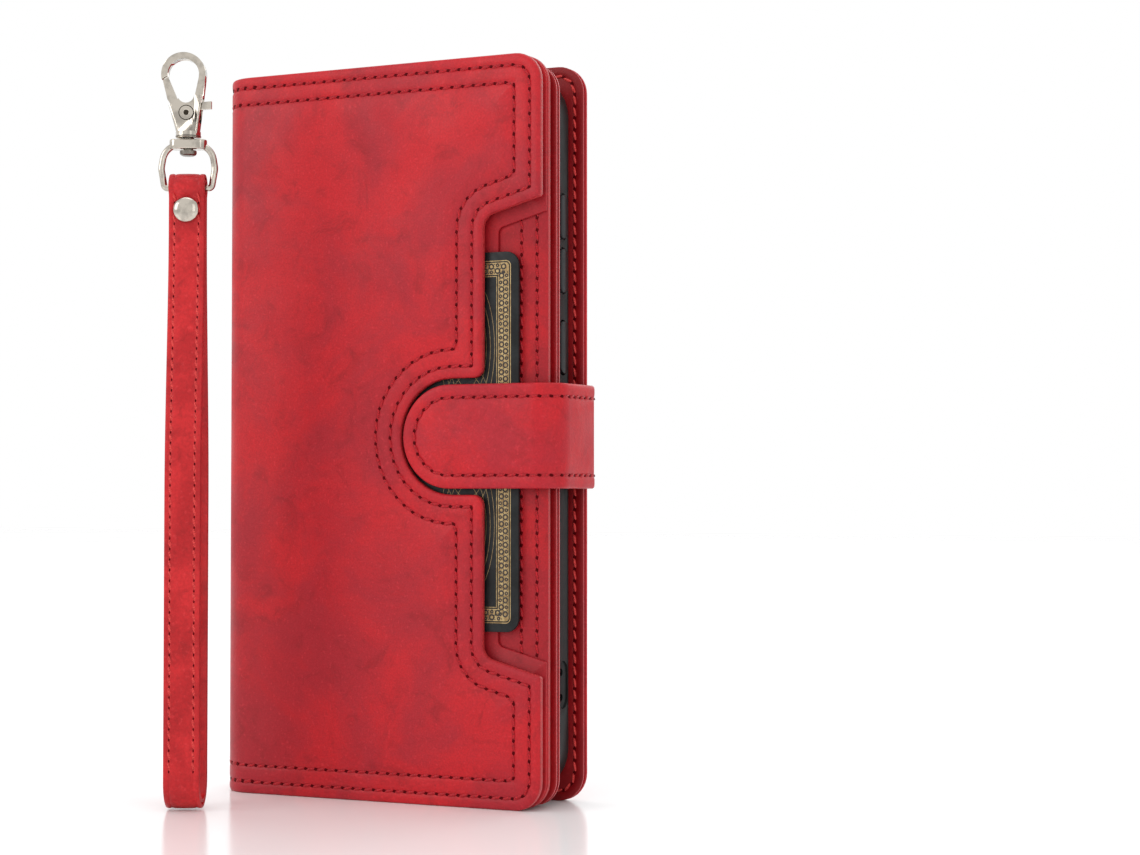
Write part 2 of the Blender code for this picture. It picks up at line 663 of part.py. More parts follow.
# ----------------------------------------------------------------- front cover
def make_front_cover():
    edge = EDGE_X - FRONT_EDGE_IN
    path = shortened(front_corner_path(), FOLD_GAP, 0.0)
    leather = prism("front_leather", band(path, 0.0, LEATHER), 0.0, HEIGHT, "Z", "leather")
    blank = prism("front_blank", cover_outline(edge), FRONT_Y - 2.0, FRONT_Y + 20.0)
    trim(leather, blank, keep_inside=True)
    window = prism("window_guide", window_outline(), FRONT_Y - 2.0, depth["front_padding"][0] + 0.1)
    trim(leather, window)

    inner_left = FRONT_FLAT_X + GAP
    padding = plate("front_padding", rounded(box_corners(inner_left + 1.0, edge - 3.0, 3.0, HEIGHT - 3.0,
                                                         1.0, 4.0)), depth["front_padding"], "foam")
    trim(padding, prism("padding_window_guide", window_outline(1.5), FRONT_Y - 2.0, FRONT_Y + 5.0))

    frame = plate("front_frame", cover_outline(edge, left=inner_left), depth["front_frame"], "leather")
    trim(frame, prism("frame_window_guide", frame_window(), FRONT_Y - 2.0, FRONT_Y + 5.0))

    plate("front_base", cover_outline(edge, left=inner_left), depth["front_base"], "leather")
    board = plate("front_board", rounded(box_corners(inner_left + 2.0, edge - 3.0, 3.0, HEIGHT - 3.0,
                                                     1.0, 4.0)), depth["front_board"], "board")
    room = rounded(box_corners(MAGNET_X - PLATE_HALF[0] - GAP, MAGNET_X + PLATE_HALF[0] + GAP,
                               WINDOW_Z - PLATE_HALF[1] - GAP, WINDOW_Z + PLATE_HALF[1] + GAP))
    trim(board, prism("plate_room_guide", room, FRONT_Y, FRONT_Y + 9.0))
    steel = rounded(box_corners(MAGNET_X - PLATE_HALF[0], MAGNET_X + PLATE_HALF[0],
                                WINDOW_Z - PLATE_HALF[1], WINDOW_Z + PLATE_HALF[1], 1.0, 1.0))
    plate("closure_plate", steel, depth["front_board"], "steel")
    plate("front_lining", cover_outline(edge - FRONT_LINING_IN, left=inner_left), depth["front_lining"],
          "lining")


def frame_window():
    """Window of the inner frame: smaller than the outer one, without its notch."""
    half = WINDOW_HALF - FRAME_IN
    left = WINDOW_X + FRAME_IN
    slope = (WINDOW_HALF_OUT - WINDOW_HALF) / (EDGE_X - WINDOW_X)
    far = EDGE_X + 4.0
    far_half = half + slope * (far - left)
    return rounded([(far, WINDOW_Z - far_half, 0.0), (far, WINDOW_Z + far_half, 0.0),
                    (left, WINDOW_Z + half, 1.2), (left, WINDOW_Z - half, 1.2)])


def make_card():
    right = EDGE_X - CARD_EDGE_IN
    outline = rounded(box_corners(right - CARD_WIDTH, right, CARD_LOW, CARD_LOW + CARD_HEIGHT,
                                  CARD_R, CARD_R))
    plate("card", outline, depth["card"], "card")


# --------------------------------------------------------------------- closure
def tab_path():
    """Middle of the tab's outer leather, from its root round to the tongue."""
    side_x = EDGE_X + TAB_OUT - TAB_LEATHER / 2.0
    card_front = depth["card"][1]
    inside = TAB_LINING + 2.0 * GAP + TAB_MAGNET + GAP
    front_y = card_front - inside - TAB_LEATHER / 2.0
    hook = (side_x - TAB_HOOK_R, TAB_HINGE.y - TAB_HOOK_R)
    bend = (side_x - TAB_ROUND, front_y + TAB_ROUND)
    return ([point(TAB_HINGE.x, TAB_HINGE.y)] + arc(hook, TAB_HOOK_R, 90.0, 0.0, 4)
            + arc(bend, TAB_ROUND, 0.0, -90.0, 8) + [point(TAB_TIP_X - TAB_HALF - 5.0, front_y)])


def tongue_outline(inset=0.0):
    """Face of the tongue in x and z: round tip, straight to the side."""
    reach = TAB_HALF - inset
    return (arc((TAB_TIP_X, WINDOW_Z), reach, 90.0, 270.0, 16)
            + [point(EDGE_X + 9.0, WINDOW_Z - reach), point(EDGE_X + 9.0, WINDOW_Z + reach)])


def make_tab():
    path = tab_path()
    half = TAB_LEATHER / 2.0
    low, high = WINDOW_Z - TAB_HALF - 1.0, WINDOW_Z + TAB_HALF + 1.0
    leather = prism("tab_leather", band(path, half, -half), low, high, "Z", "leather")
    trim(leather, prism("tongue_guide", tongue_outline(), 10.0, FRONT_Y - 10.0), keep_inside=True)
    inside = half + GAP + TAB_MAGNET + GAP
    inner_path = [path[5] + point(0.0, -0.6)] + path[6:]
    lining = prism("tab_lining", band(inner_path, -inside, -inside - TAB_LINING), low, high, "Z", "lining")
    trim(lining, prism("tongue_lining_guide", tongue_outline(0.3), 10.0, FRONT_Y - 10.0),
         keep_inside=True)
    front = path[-1].y + half + GAP
    rod("tab_magnet", (MAGNET_X, front, WINDOW_Z), (0, 1, 0), MAGNET_R, 0.0, TAB_MAGNET, "steel", 24)


# ----------------------------------------------------------------- wrist strap
def strap_place():
    return (Matrix.Translation((*STRAP_PLACE, 0.0)) @ Matrix.Rotation(STRAP_TURN, 4, "Z"))


def smooth_step(value):
    value = max(0.0, min(1.0, value))
    return value * value * (3.0 - 2.0 * value)


def loop_half(z, offset):
    """Half the depth of the loop at a height, for a layer's middle."""
    bar_z = bar_height()
    at_bar = RING_WIRE_R + BAR_GAP
    widest = STRAP_BOTTOM + 70.0
    if z > RIVET_Z + RIVET_R:
        gap = STRAP_HALF_PINCH + (at_bar - STRAP_HALF_PINCH) * smooth_step(
            (z - RIVET_Z - RIVET_R) / (bar_z - RIVET_Z - RIVET_R))
    else:
        gap = STRAP_HALF_PINCH + (STRAP_HALF_GAP - STRAP_HALF_PINCH) * smooth_step(
            (RIVET_Z - RIVET_R - z) / (RIVET_Z - RIVET_R - widest))
    return gap + offset


def bar_height():
    """Middle of the ring's lower bar, inside the fold at the strap's top."""
    return STRAP_TOP - RING_WIRE_R - BAR_GAP - 2.0 * STRAP_LEATHER - BAND_GAP


def loop_path(offset):
    """Closed side view of one layer of the loop: (depth, height) points."""
    bar_z = bar_height()
    foot_r = STRAP_HALF_GAP + offset
    foot_z = STRAP_BOTTOM + STRAP_HALF_GAP + 2.0 * STRAP_LEATHER + BAND_GAP
    low, high = RIVET_Z - RIVET_R, RIVET_Z + RIVET_R
    heights = ([foot_z + (low - foot_z) * i / 18 for i in range(1, 19)] + [high, (high + bar_z) / 2.0])
    front = [point(-loop_half(z, offset), z) for z in heights]
    back = [point(-p.x, p.y) for p in reversed(front)]
    top = arc((0.0, bar_z), RING_WIRE_R + BAR_GAP + offset, 180.0, 0.0, 8)
    foot = arc((0.0, foot_z), foot_r, 0.0, -180.0, 10)
    return front + top + back + foot


def strap_layer(name, offset, look):
    """One closed band of leather, run once round the loop."""
    bm = bmesh.new()
    half = STRAP_WIDTH / 2.0
    verts = [bm.verts.new((-half, p.x, p.y)) for p in loop_path(offset)]
    edges = [bm.edges.new(pair) for pair in zip(verts, verts[1:] + verts[:1])]
    grown = bmesh.ops.extrude_edge_only(bm, edges=edges)
    moved = [v for v in grown["geom"] if isinstance(v, bmesh.types.BMVert)]
    bmesh.ops.translate(bm, vec=(STRAP_WIDTH, 0, 0), verts=moved)
    layer = to_object(bm, name, look)
    thick = layer.modifiers.new("leather", "SOLIDIFY")
    thick.thickness = STRAP_LEATHER * MM
    thick.offset = 0.0
    trim(layer, rod(name + "_rivet_guide", (0, 0, RIVET_Z), (0, 1, 0), RIVET_POST_R + GAP, -6.0, 6.0))
    return move(layer, strap_place())


def make_strap():
    strap_layer("strap_inner_leather", STRAP_LEATHER / 2.0, "strap")
    strap_layer("strap_outer_leather", STRAP_LEATHER * 1.5 + BAND_GAP, "strap")
    face = STRAP_HALF_PINCH + 2.0 * STRAP_LEATHER + BAND_GAP + 0.35
    dome = [(0.0, 0.0), (RIVET_R, 0.0)]
    dome += [(RIVET_R * math.cos(a), 0.15 + RIVET_DOME * math.sin(a))
             for a in [math.radians(18.0 * i) for i in range(6)]]
    dome[-1] = (0.0, 0.15 + RIVET_DOME)
    forward = Matrix.Translation((0, -face, RIVET_Z)) @ Matrix.Rotation(math.radians(90), 4, "X")
    move(turned("rivet_cap", dome, "nickel"), strap_place() @ forward)
    post = [(0.0, 0.0), (RIVET_R, 0.0), (RIVET_R, 0.4), (RIVET_R * 0.8, 0.7), (0.0, 0.9)]
    stem = 2.0 * face - GAP
    stem_part = [(0.0, -stem), (RIVET_POST_R, -stem), (RIVET_POST_R, 0.0)]
    backward = Matrix.Translation((0, face, RIVET_Z)) @ Matrix.Rotation(math.radians(-90), 4, "X")
    move(turned("rivet_post", stem_part + post[1:], "nickel"), strap_place() @ backward)


def tube(path, radius, sides=10):
    """A closed ring of wire along a path in the XZ plane."""
    bm = bmesh.new()
    count = len(path)
    rings = []
    for i, here in enumerate(path):
        along = (path[(i + 1) % count] - path[i - 1]).normalized()
        out = point(-along.y, along.x)
        ring = []
        for k in range(sides):
            a = math.tau * k / sides
            side = here + out * (radius * math.cos(a))
            ring.append(bm.verts.new((side.x, radius * math.sin(a), side.y)))
        rings.append(ring)
    for ring, following in zip(rings, rings[1:] + rings[:1]):
        for k in range(sides):
            j = (k + 1) % sides
            bm.faces.new((ring[k], ring[j], following[j], following[k]))
    return bm


def ring_path():
    bar_z = bar_height()
    top_z = RING_BAR_TOP - RING_BAR_HEIGHT / 2.0
    side = STRAP_WIDTH / 2.0 + GAP + RING_WIRE_R + 0.25
    wide = RING_HALF - RING_WIRE_R + 0.6
    return rounded([(-side, bar_z, 0.9), (side, bar_z, 0.9), (wide, bar_z + 3.6, 2.5),
                    (wide - 0.6, top_z, 3.0), (-wide + 0.6, top_z, 3.0), (-wide, bar_z + 3.6, 2.5)], 6)


def make_ring():
    ring = to_object(tube(ring_path(), RING_WIRE_R), "swivel_ring", "nickel")
    high = RING_BAR_TOP
    low = high - RING_BAR_HEIGHT
    bar = prism("ring_boss", rounded(box_corners(-RING_BAR_HALF[0], RING_BAR_HALF[0], -RING_BAR_HALF[1],
                                                 RING_BAR_HALF[1], 1.8, 1.8)), low, high, "Z")
    combine(ring, bar, "UNION")
    trim(ring, rod("ring_bore_guide", (0, 0, 0), (0, 0, 1), POST_R + GAP, low - 3.0, high + 3.0))
    move(ring, strap_place())


def make_post():
    low = RING_BAR_TOP - RING_BAR_HEIGHT - GAP
    top = COLLAR_LOW + 1.6
    profile = [(0.0, low - POST_HEAD), (POST_HEAD_R - 0.4, low - POST_HEAD), (POST_HEAD_R, low - POST_HEAD * 0.6),
               (POST_HEAD_R, low), (POST_R, low), (POST_R, top), (0.0, top)]
    move(turned("swivel_post", profile, "nickel", 20), strap_place())


def tangent_angle(centre, radius, outside, side):
    """Angle on a circle of the tangent that leads to an outside point."""
    gap = point(*outside) - point(*centre)
    base = math.atan2(gap.y, gap.x)
    return math.degrees(base + side * math.acos(radius / gap.length))


def clasp_outline():
    foot = (2.3, COLLAR_HEIGHT)
    right = tangent_angle(HOOK_C, HOOK_R, foot, 1)
    left = tangent_angle(HOOK_C, HOOK_R, (-foot[0], foot[1]), -1)
    start, end = right, left + 360.0
    return [point(-foot[0], 0.4), point(foot[0], 0.4)] + arc(HOOK_C, HOOK_R, start, end, 28)


def clasp_frame():
    return strap_place() @ Matrix.Translation((0, 0, COLLAR_LOW))


def make_clasp():
    half = CLASP_THICK / 2.0
    body = prism("clasp_body", clasp_outline(), -half, half, "Y", "nickel")
    edge = body.modifiers.new("soft_edge", "BEVEL")
    edge.width = 0.55 * MM
    edge.segments = 2
    edge.limit_method = "ANGLE"
    edge.angle_limit = math.radians(60)
    combine(body, rod("collar_shape", (0, 0, 0), (0, 0, 1), COLLAR_R, 0.0, COLLAR_HEIGHT), "UNION")

    def cut(name, outline, low, high):
        trim(body, prism(name, outline, low, high, "Y"))

    cut("hook_hole_guide", hull_of_circles(HOOK_C, HOOK_HOLE_R, THROAT_C, THROAT_R), -5.0, 5.0)
    thin = (CLASP_THICK - HOOK_THICK) / 2.0
    above = rounded(box_corners(-9.0, 7.0, 9.6, 20.0))
    cut("hook_front_guide", above, -5.0, -half + thin)
    cut("hook_back_guide", above, half - thin, 5.0)
    gate_room = (arc(PIN_C, GATE_REACH + 0.35, 115.0, 150.0, 8)
                 + [point(-9.0, 10.0), point(-9.0, 7.4), point(-2.6, 7.4), point(-1.6, 9.6)])
    cut("gate_room_guide", gate_room, -5.0, 5.0)
    slot = [point(-7.0, 3.3), point(7.0, 3.3), point(7.0, 8.9), point(1.4, 8.9), point(-1.0, 10.2),
            point(-7.0, 10.2)]
    cut("lever_slot_guide", slot, -LEVER_SLOT / 2.0, LEVER_SLOT / 2.0)
    pin_hole = rod("pin_hole_guide", (PIN_C[0], 0, PIN_C[1]), (0, 1, 0), PIN_R + GAP, -5.0, 5.0)
    post_hole = rod("post_hole_guide", (0, 0, 0), (0, 0, 1), POST_R + GAP, -1.0, 1.6 + GAP)
    trim(body, pin_hole)
    trim(body, post_hole)
    move(body, clasp_frame())


def make_gate():
    """Gate, hub and thumb piece in one lever on the pin."""
    hub = point(*PIN_C)
    outline = (arc(PIN_C, 1.7, 205.0, 330.0, 6)
               + [point(2.8, 6.3), point(5.3, 6.5), point(5.3, 8.2), point(3.2, 8.0)]
               + [point(0.8, 7.1), point(-1.8, 7.4)]
               + arc(PIN_C, GATE_REACH, 117.5, 126.5, 3)
               + [point(-4.6, 8.6), point(-2.6, 5.6)])
    front = -LEVER_SLOT / 2.0 + GAP
    lever = prism("gate_lever", outline, front, front + LEVER_THICK, "Y", "nickel")
    trim(lever, rod("gate_hole_guide", (hub.x, 0, hub.y), (0, 1, 0), PIN_R + GAP, -5.0, 5.0))
    pin = rod("gate_pin", (hub.x, 0, hub.y), (0, 1, 0), PIN_R, -CLASP_THICK / 2.0, CLASP_THICK / 2.0,
              "nickel", 16)
    start = front + LEVER_THICK + GAP
    wire = 0.4
    coil = tube_ring("gate_spring", hub, 1.35, wire / 2.0, start + wire / 2.0)
    for thing in (lever, pin, coil):
        move(thing, clasp_frame())


def tube_ring(name, centre, radius, wire_r, y):
    """A small round coil about a line along Y."""
    path = [centre + point(math.cos(a), math.sin(a)) * radius
            for a in [math.tau * i / 20 for i in range(20)]]
    bm = tube(path, wire_r, 6)
    bmesh.ops.translate(bm, vec=(0, y, 0), verts=bm.verts)
    return to_object(bm, name, "steel")


def pivot(name, place, nodes, turn=0.0):
    """An empty on a joint's axis that carries the pieces that move with it."""
    made = bpy.data.objects.new(name, None)
    bpy.context.scene.collection.objects.link(made)
    made.empty_display_size = 0.01
    made.matrix_world = Matrix.Translation(Vector(place) * MM) @ Matrix.Rotation(turn, 4, "Z")
    for node in nodes:
        carried = bpy.data.objects[node]
        carried.parent = made
        carried.matrix_parent_inverse = made.matrix_world.inverted()
    return made


def hang(child, parent):
    """Let one pivot travel with another."""
    child.parent = parent
    child.matrix_parent_inverse = parent.matrix_world.inverted()


def make_pivots():
    """The joints as empties; the front cover and its layers stay put."""
    half = HEIGHT / 2.0
    spine = pivot("spine_pivot", (*FRONT_FOLD, half), ("spine_leather", "spine_lining", "page_hinge_strip"))
    back = pivot("back_cover_pivot", (*BACK_FOLD, half),
                 ("back_leather", "back_board", "back_lining", "phone_shell", "eyelet",
                  "eyelet_washer", "tab_root"))
    page = pivot("page_pivot", (*PAGE_FOLD, half),
                 ("page_front_leather", "page_board", "page_back_leather",
                  "page_slot_upper", "page_slot_middle", "page_slot_lower"))
    tab = pivot("closure_tab_pivot", (*TAB_HINGE, WINDOW_Z), ("tab_leather", "tab_lining", "tab_magnet"))
    hang(back, spine)
    hang(page, spine)
    hang(tab, back)
    bay_y = depth["shell"][0] - SHELL_FLOOR - PHONE_THICK / 2.0
    for name, low, high in BUTTONS:
        hang(pivot(name + "_travel", (shell_right(), bay_y, (low + high) / 2.0), (name,)), back)
    card_middle = (EDGE_X - CARD_EDGE_IN - CARD_WIDTH / 2.0, sum(depth["card"]) / 2.0,
                   CARD_LOW + CARD_HEIGHT / 2.0)
    pivot("card_travel", card_middle, ("card",))

    foot = Vector((*STRAP_PLACE, 0.0))
    ring = pivot("ring_travel", foot + Vector((0.0, 0.0, RING_BAR_TOP)), ("swivel_ring",), STRAP_TURN)
    clasp = pivot("clasp_pivot", foot + Vector((0.0, 0.0, COLLAR_LOW)),
                  ("clasp_body", "swivel_post", "gate_pin", "gate_spring"), STRAP_TURN)
    pin = clasp_frame() @ Vector((PIN_C[0], 0.0, PIN_C[1]))
    gate = pivot("gate_pivot", pin, ("gate_lever",), STRAP_TURN)
    strap = pivot("strap_pivot", foot + Vector((0.0, 0.0, bar_height())),
                  ("strap_outer_leather", "strap_inner_leather", "rivet_cap", "rivet_post"), STRAP_TURN)
    hang(clasp, ring)
    hang(gate, clasp)
    hang(strap, ring)


def main():
    clear_scene()
    make_back_cover()
    make_eyelet()
    make_shell()
    make_buttons()
    make_spine()
    make_page()
    make_front_cover()
    make_card()
    make_tab()
    make_strap()
    make_ring()
    make_post()
    make_clasp()
    make_gate()
    make_pivots()


main()
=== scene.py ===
"""Looks of the folio wallet case and its wrist strap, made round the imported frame.

Panels of leather are laid out flat first: x runs along the panel, y is the
depth below its face and z is up.  They are then bent round the book and
scaled from millimetres to metres.
"""
import math

import bmesh
import bpy
from mathutils import Matrix, Vector


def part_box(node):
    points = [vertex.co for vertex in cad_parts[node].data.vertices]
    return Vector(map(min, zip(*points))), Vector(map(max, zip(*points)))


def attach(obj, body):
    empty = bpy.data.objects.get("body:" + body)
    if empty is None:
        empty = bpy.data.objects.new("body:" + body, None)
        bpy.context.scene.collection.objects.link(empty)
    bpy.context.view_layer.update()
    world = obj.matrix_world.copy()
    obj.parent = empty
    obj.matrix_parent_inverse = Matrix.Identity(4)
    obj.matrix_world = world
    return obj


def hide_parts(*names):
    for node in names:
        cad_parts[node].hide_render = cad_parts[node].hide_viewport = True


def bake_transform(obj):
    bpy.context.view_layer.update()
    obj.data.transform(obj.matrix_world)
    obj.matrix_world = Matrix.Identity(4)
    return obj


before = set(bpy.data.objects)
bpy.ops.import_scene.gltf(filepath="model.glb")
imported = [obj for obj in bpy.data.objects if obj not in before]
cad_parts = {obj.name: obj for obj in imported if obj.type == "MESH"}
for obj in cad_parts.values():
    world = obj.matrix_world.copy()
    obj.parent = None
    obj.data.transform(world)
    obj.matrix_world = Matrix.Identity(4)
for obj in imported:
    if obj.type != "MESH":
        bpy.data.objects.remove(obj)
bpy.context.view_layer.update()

MM = 0.001


def low(node):
    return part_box(node)[0] / MM


def high(node):
    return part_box(node)[1] / MM


# Sizes that the frame gives
HEIGHT = high("back_leather").z
EDGE_X = high("back_leather").x
FRONT_EDGE_X = high("front_leather").x
SPINE_X = low("spine_leather").x
BACK_Y = high("back_leather").y
FRONT_Y = low("front_leather").y
PAGE_RIGHT = high("page_front_leather").x
PAGE_LEFT = low("page_front_leather").x

# Sizes of the corners and of the window, as the frame has them
LEATHER = 0.9                # outer leather, thick
CORNER_R = 6.5
TILT = 35.0                  # of the flat between the back cover and the spine
R1, FLAT, R2 = 5.0, 6.5, 3.0   # its upper round, its length, its lower round
FRONT_R = 8.4                # round of the front's turn into the spine
WINDOW_Z, WINDOW_X = 83.5, 27.2
WINDOW_HALF, WINDOW_HALF_OUT = 49.5, 53.9
NOTCH_R, NOTCH_X = 13.2, 19.2
FRAME_IN = 2.4               # second layer shows this far inside the window
PANEL_START = -75.0          # left of every laid-out cover, trimmed later
CREASE_X, CREASE_DEEP, CREASE_WIDE = 5.4, 0.16, 0.9   # stand fold of the back cover
EYELET_Z, EYELET_BORE = 9.9, 3.5
CAMERA_SIZE, CAMERA_IN, CAMERA_DOWN = (21.2, 53.0), 4.6, 3.5
FLASH_IN, FLASH_DOWN, FLASH_R = 29.5, 16.0, 3.8
TAB_HALF, TAB_TIP_X, TAB_SIDE_X, TAB_LINING = 11.8, 18.6, 46.0, 0.4
STRAP_PLACE, STRAP_TURN = (-32.6, -50.8), math.radians(26.0)

tilt = math.radians(TILT)
BACK_FLAT_X = SPINE_X + R1 * math.sin(tilt) + FLAT * math.cos(tilt) + R2 * (1 - math.sin(tilt))
ARC1 = Vector((BACK_FLAT_X, BACK_Y - R1))
ARC2 = Vector((SPINE_X + R2, BACK_Y - R1 * (1 - math.cos(tilt)) - FLAT * math.sin(tilt)
               - R2 * math.cos(tilt)))
FRONT_FLAT_X = SPINE_X + FRONT_R
FRONT_ARC = Vector((FRONT_FLAT_X, FRONT_Y + FRONT_R))
SPINE_MID_Y = (FRONT_ARC.y + ARC2.y) / 2.0
FRONT_END = FRONT_FLAT_X - FRONT_R * math.pi / 2 - (SPINE_MID_Y - FRONT_ARC.y)
BACK_END = BACK_FLAT_X - R1 * tilt - FLAT - R2 * (math.pi / 2 - tilt) - (ARC2.y - SPINE_MID_Y)

ROW_1, ROW_2 = 2.7, 6.6      # the two stitch rows, from an edge
PITCH = 2.75                 # of a stitch


# ------------------------------------------------------------- bending leather
def polar(centre, radius, degrees):
    a = math.radians(degrees)
    return centre + Vector((math.cos(a), math.sin(a))) * radius


def front_wrap(u, w):
    """Place of a point of the front panel, u along it and w below its face."""
    s = FRONT_FLAT_X - u
    if s <= 0.0:
        return Vector((u, FRONT_Y + w))
    turn = FRONT_R * math.pi / 2
    if s <= turn:
        return polar(FRONT_ARC, FRONT_R - w, 270.0 - math.degrees(s / FRONT_R))
    return Vector((SPINE_X + w, FRONT_ARC.y + s - turn))


def back_wrap(u, w):
    """Place of a point of the back panel."""
    s = BACK_FLAT_X - u
    if s <= 0.0:
        return Vector((u, BACK_Y - w))
    if s <= R1 * tilt:
        return polar(ARC1, R1 - w, 90.0 + math.degrees(s / R1))
    s -= R1 * tilt
    if s <= FLAT:
        along = Vector((-math.cos(tilt), -math.sin(tilt)))
        return polar(ARC1, R1 - w, 90.0 + TILT) + along * s
    s -= FLAT
    turn = R2 * (math.pi / 2 - tilt)
    if s <= turn:
        return polar(ARC2, R2 - w, 90.0 + TILT + math.degrees(s / R2))
    return Vector((SPINE_X + w, ARC2.y - (s - turn)))


TAB_FACE_Y = low("tab_leather").y
TAB_BEND_R, TAB_HOOK_R, TAB_HOOK_Y = 6.8, 2.3, -3.05
TAB_BEND_X = TAB_SIDE_X - TAB_BEND_R
TAB_SIDE = TAB_HOOK_Y - (TAB_FACE_Y + TAB_BEND_R)
TAB_LENGTH = TAB_BEND_X + TAB_BEND_R * math.pi / 2 + TAB_SIDE + TAB_HOOK_R * math.pi / 2 + 0.4


def tab_wrap(u, w):
    """Place of a point of the closing tab, u from its tongue to its root."""
    s = u - TAB_BEND_X
    if s <= 0.0:
        return Vector((u, TAB_FACE_Y + w))
    turn = TAB_BEND_R * math.pi / 2
    centre = Vector((TAB_BEND_X, TAB_FACE_Y + TAB_BEND_R))
    if s <= turn:
        return polar(centre, TAB_BEND_R - w, -90.0 + math.degrees(s / TAB_BEND_R))
    s -= turn
    if s <= TAB_SIDE:
        return Vector((TAB_SIDE_X - w, centre.y + s))
    s -= TAB_SIDE
    hook = Vector((TAB_SIDE_X - TAB_HOOK_R, TAB_HOOK_Y))
    if s <= TAB_HOOK_R * math.pi / 2:
        return polar(hook, TAB_HOOK_R - w, math.degrees(s / TAB_HOOK_R))
    return Vector((hook.x - (s - TAB_HOOK_R * math.pi / 2), hook.y + TAB_HOOK_R - w))


def facing_front(y):
    """A flat panel whose face looks to the front, at a depth y."""
    return lambda u, w: Vector((u, y + w))


def facing_back(y):
    return lambda u, w: Vector((u, y - w))


# ------------------------------------------------------------ outlines of parts
def rounded(corners, steps=7):
    """A closed outline from (x, z, radius) corners; each corner gets its arc."""
    outline = []
    count = len(corners)
    for i, (x, z, radius) in enumerate(corners):
        here = Vector((x, z))
        if radius <= 0.0:
            outline.append(here)
            continue
        back = (Vector(corners[i - 1][:2]) - here).normalized()
        ahead = (Vector(corners[(i + 1) % count][:2]) - here).normalized()
        half = math.acos(max(-1.0, min(1.0, back.dot(ahead)))) / 2.0
        centre = here + (back + ahead).normalized() * (radius / math.sin(half))
        start = here + back * (radius / math.tan(half)) - centre
        end = here + ahead * (radius / math.tan(half)) - centre
        turn = math.atan2(start.x * end.y - start.y * end.x, start.dot(end))
        outline += [centre + Matrix.Rotation(turn * k / steps, 2) @ start for k in range(steps + 1)]
    return outline


def inset(corners, distance, widest=21.0):
    """The corners of an outline moved to its left by a distance."""
    moved = []
    for i, (x, z, radius) in enumerate(corners):
        here = Vector((x, z))
        a = (here - Vector(corners[i - 1][:2])).normalized()
        b = (Vector(corners[(i + 1) % len(corners)][:2]) - here).normalized()
        na, nb = Vector((-a.y, a.x)), Vector((-b.y, b.x))
        shift = (na + nb) * (distance / (1.0 + na.dot(nb)))
        inner_turn = a.x * b.y - a.y * b.x > 0.0
        if radius > 0.0:
            radius = max(radius + (-distance if inner_turn else distance), 0.04)
        moved.append((x + shift.x, z + shift.y, min(radius, widest)))
    return moved


def plain_corners(left, right, bottom, top, left_r=0.0, right_r=CORNER_R):
    return [(left, bottom, left_r), (right, bottom, right_r), (right, top, right_r), (left, top, left_r)]


def window_slope():
    return (WINDOW_HALF_OUT - WINDOW_HALF) / (EDGE_X - WINDOW_X)


def front_corners():
    """Front panel with its window; its left end runs on round the spine."""
    reach = WINDOW_HALF + window_slope() * (FRONT_EDGE_X - WINDOW_X)
    lower = [(PANEL_START, 0.0, 0.0), (FRONT_EDGE_X, 0.0, CORNER_R),
             (FRONT_EDGE_X, WINDOW_Z - reach, 0.7), (WINDOW_X, WINDOW_Z - WINDOW_HALF, 3.2),
             (WINDOW_X, WINDOW_Z - NOTCH_R, 2.4), (NOTCH_X - NOTCH_R, WINDOW_Z - NOTCH_R, NOTCH_R)]
    upper = [(x, 2 * WINDOW_Z - z, r) for x, z, r in reversed(lower[2:])]
    return lower + upper + [(FRONT_EDGE_X, HEIGHT, CORNER_R), (PANEL_START, HEIGHT, 0.0)]


def frame_corners():
    """Second leather layer, seen just inside the window."""
    left = WINDOW_X + FRAME_IN
    half = WINDOW_HALF - FRAME_IN
    reach = half + window_slope() * (FRONT_EDGE_X - left)
    start = low("front_frame").x
    return [(start, 0.0, 0.0), (FRONT_EDGE_X, 0.0, CORNER_R), (FRONT_EDGE_X, WINDOW_Z - reach, 0.5),
            (left, WINDOW_Z - half, 1.6), (left, WINDOW_Z + half, 1.6),
            (FRONT_EDGE_X, WINDOW_Z + reach, 0.5), (FRONT_EDGE_X, HEIGHT, CORNER_R), (start, HEIGHT, 0.0)]


def camera_corners():
    """Camera cut-out of the back cover, counter-clockwise seen from the front."""
    right, top = EDGE_X - CAMERA_IN, HEIGHT - CAMERA_DOWN
    left, bottom = right - CAMERA_SIZE[0], top - CAMERA_SIZE[1]
    flash_left, flash_z = EDGE_X - FLASH_IN - FLASH_R, HEIGHT - FLASH_DOWN
    return [(left, bottom + 7.0, 3.0), (left + 5.1, bottom, 3.0), (right, bottom, 0.9),
            (right, top, 9.0), (left, top, 0.9), (left, flash_z + FLASH_R, 3.0),
            (flash_left, flash_z + FLASH_R, FLASH_R), (flash_left, flash_z - FLASH_R, FLASH_R),
            (left, flash_z - FLASH_R, 3.0)]


def tab_corners():
    return [(TAB_TIP_X - TAB_HALF, WINDOW_Z - TAB_HALF, TAB_HALF),
            (TAB_LENGTH, WINDOW_Z - TAB_HALF, 0.4), (TAB_LENGTH, WINDOW_Z + TAB_HALF, 0.4),
            (TAB_TIP_X - TAB_HALF, WINDOW_Z + TAB_HALF, TAB_HALF)]


# ------------------------------------------------------------------ mesh making
def all_of(bm):
    return bm.verts[:] + bm.edges[:] + bm.faces[:]


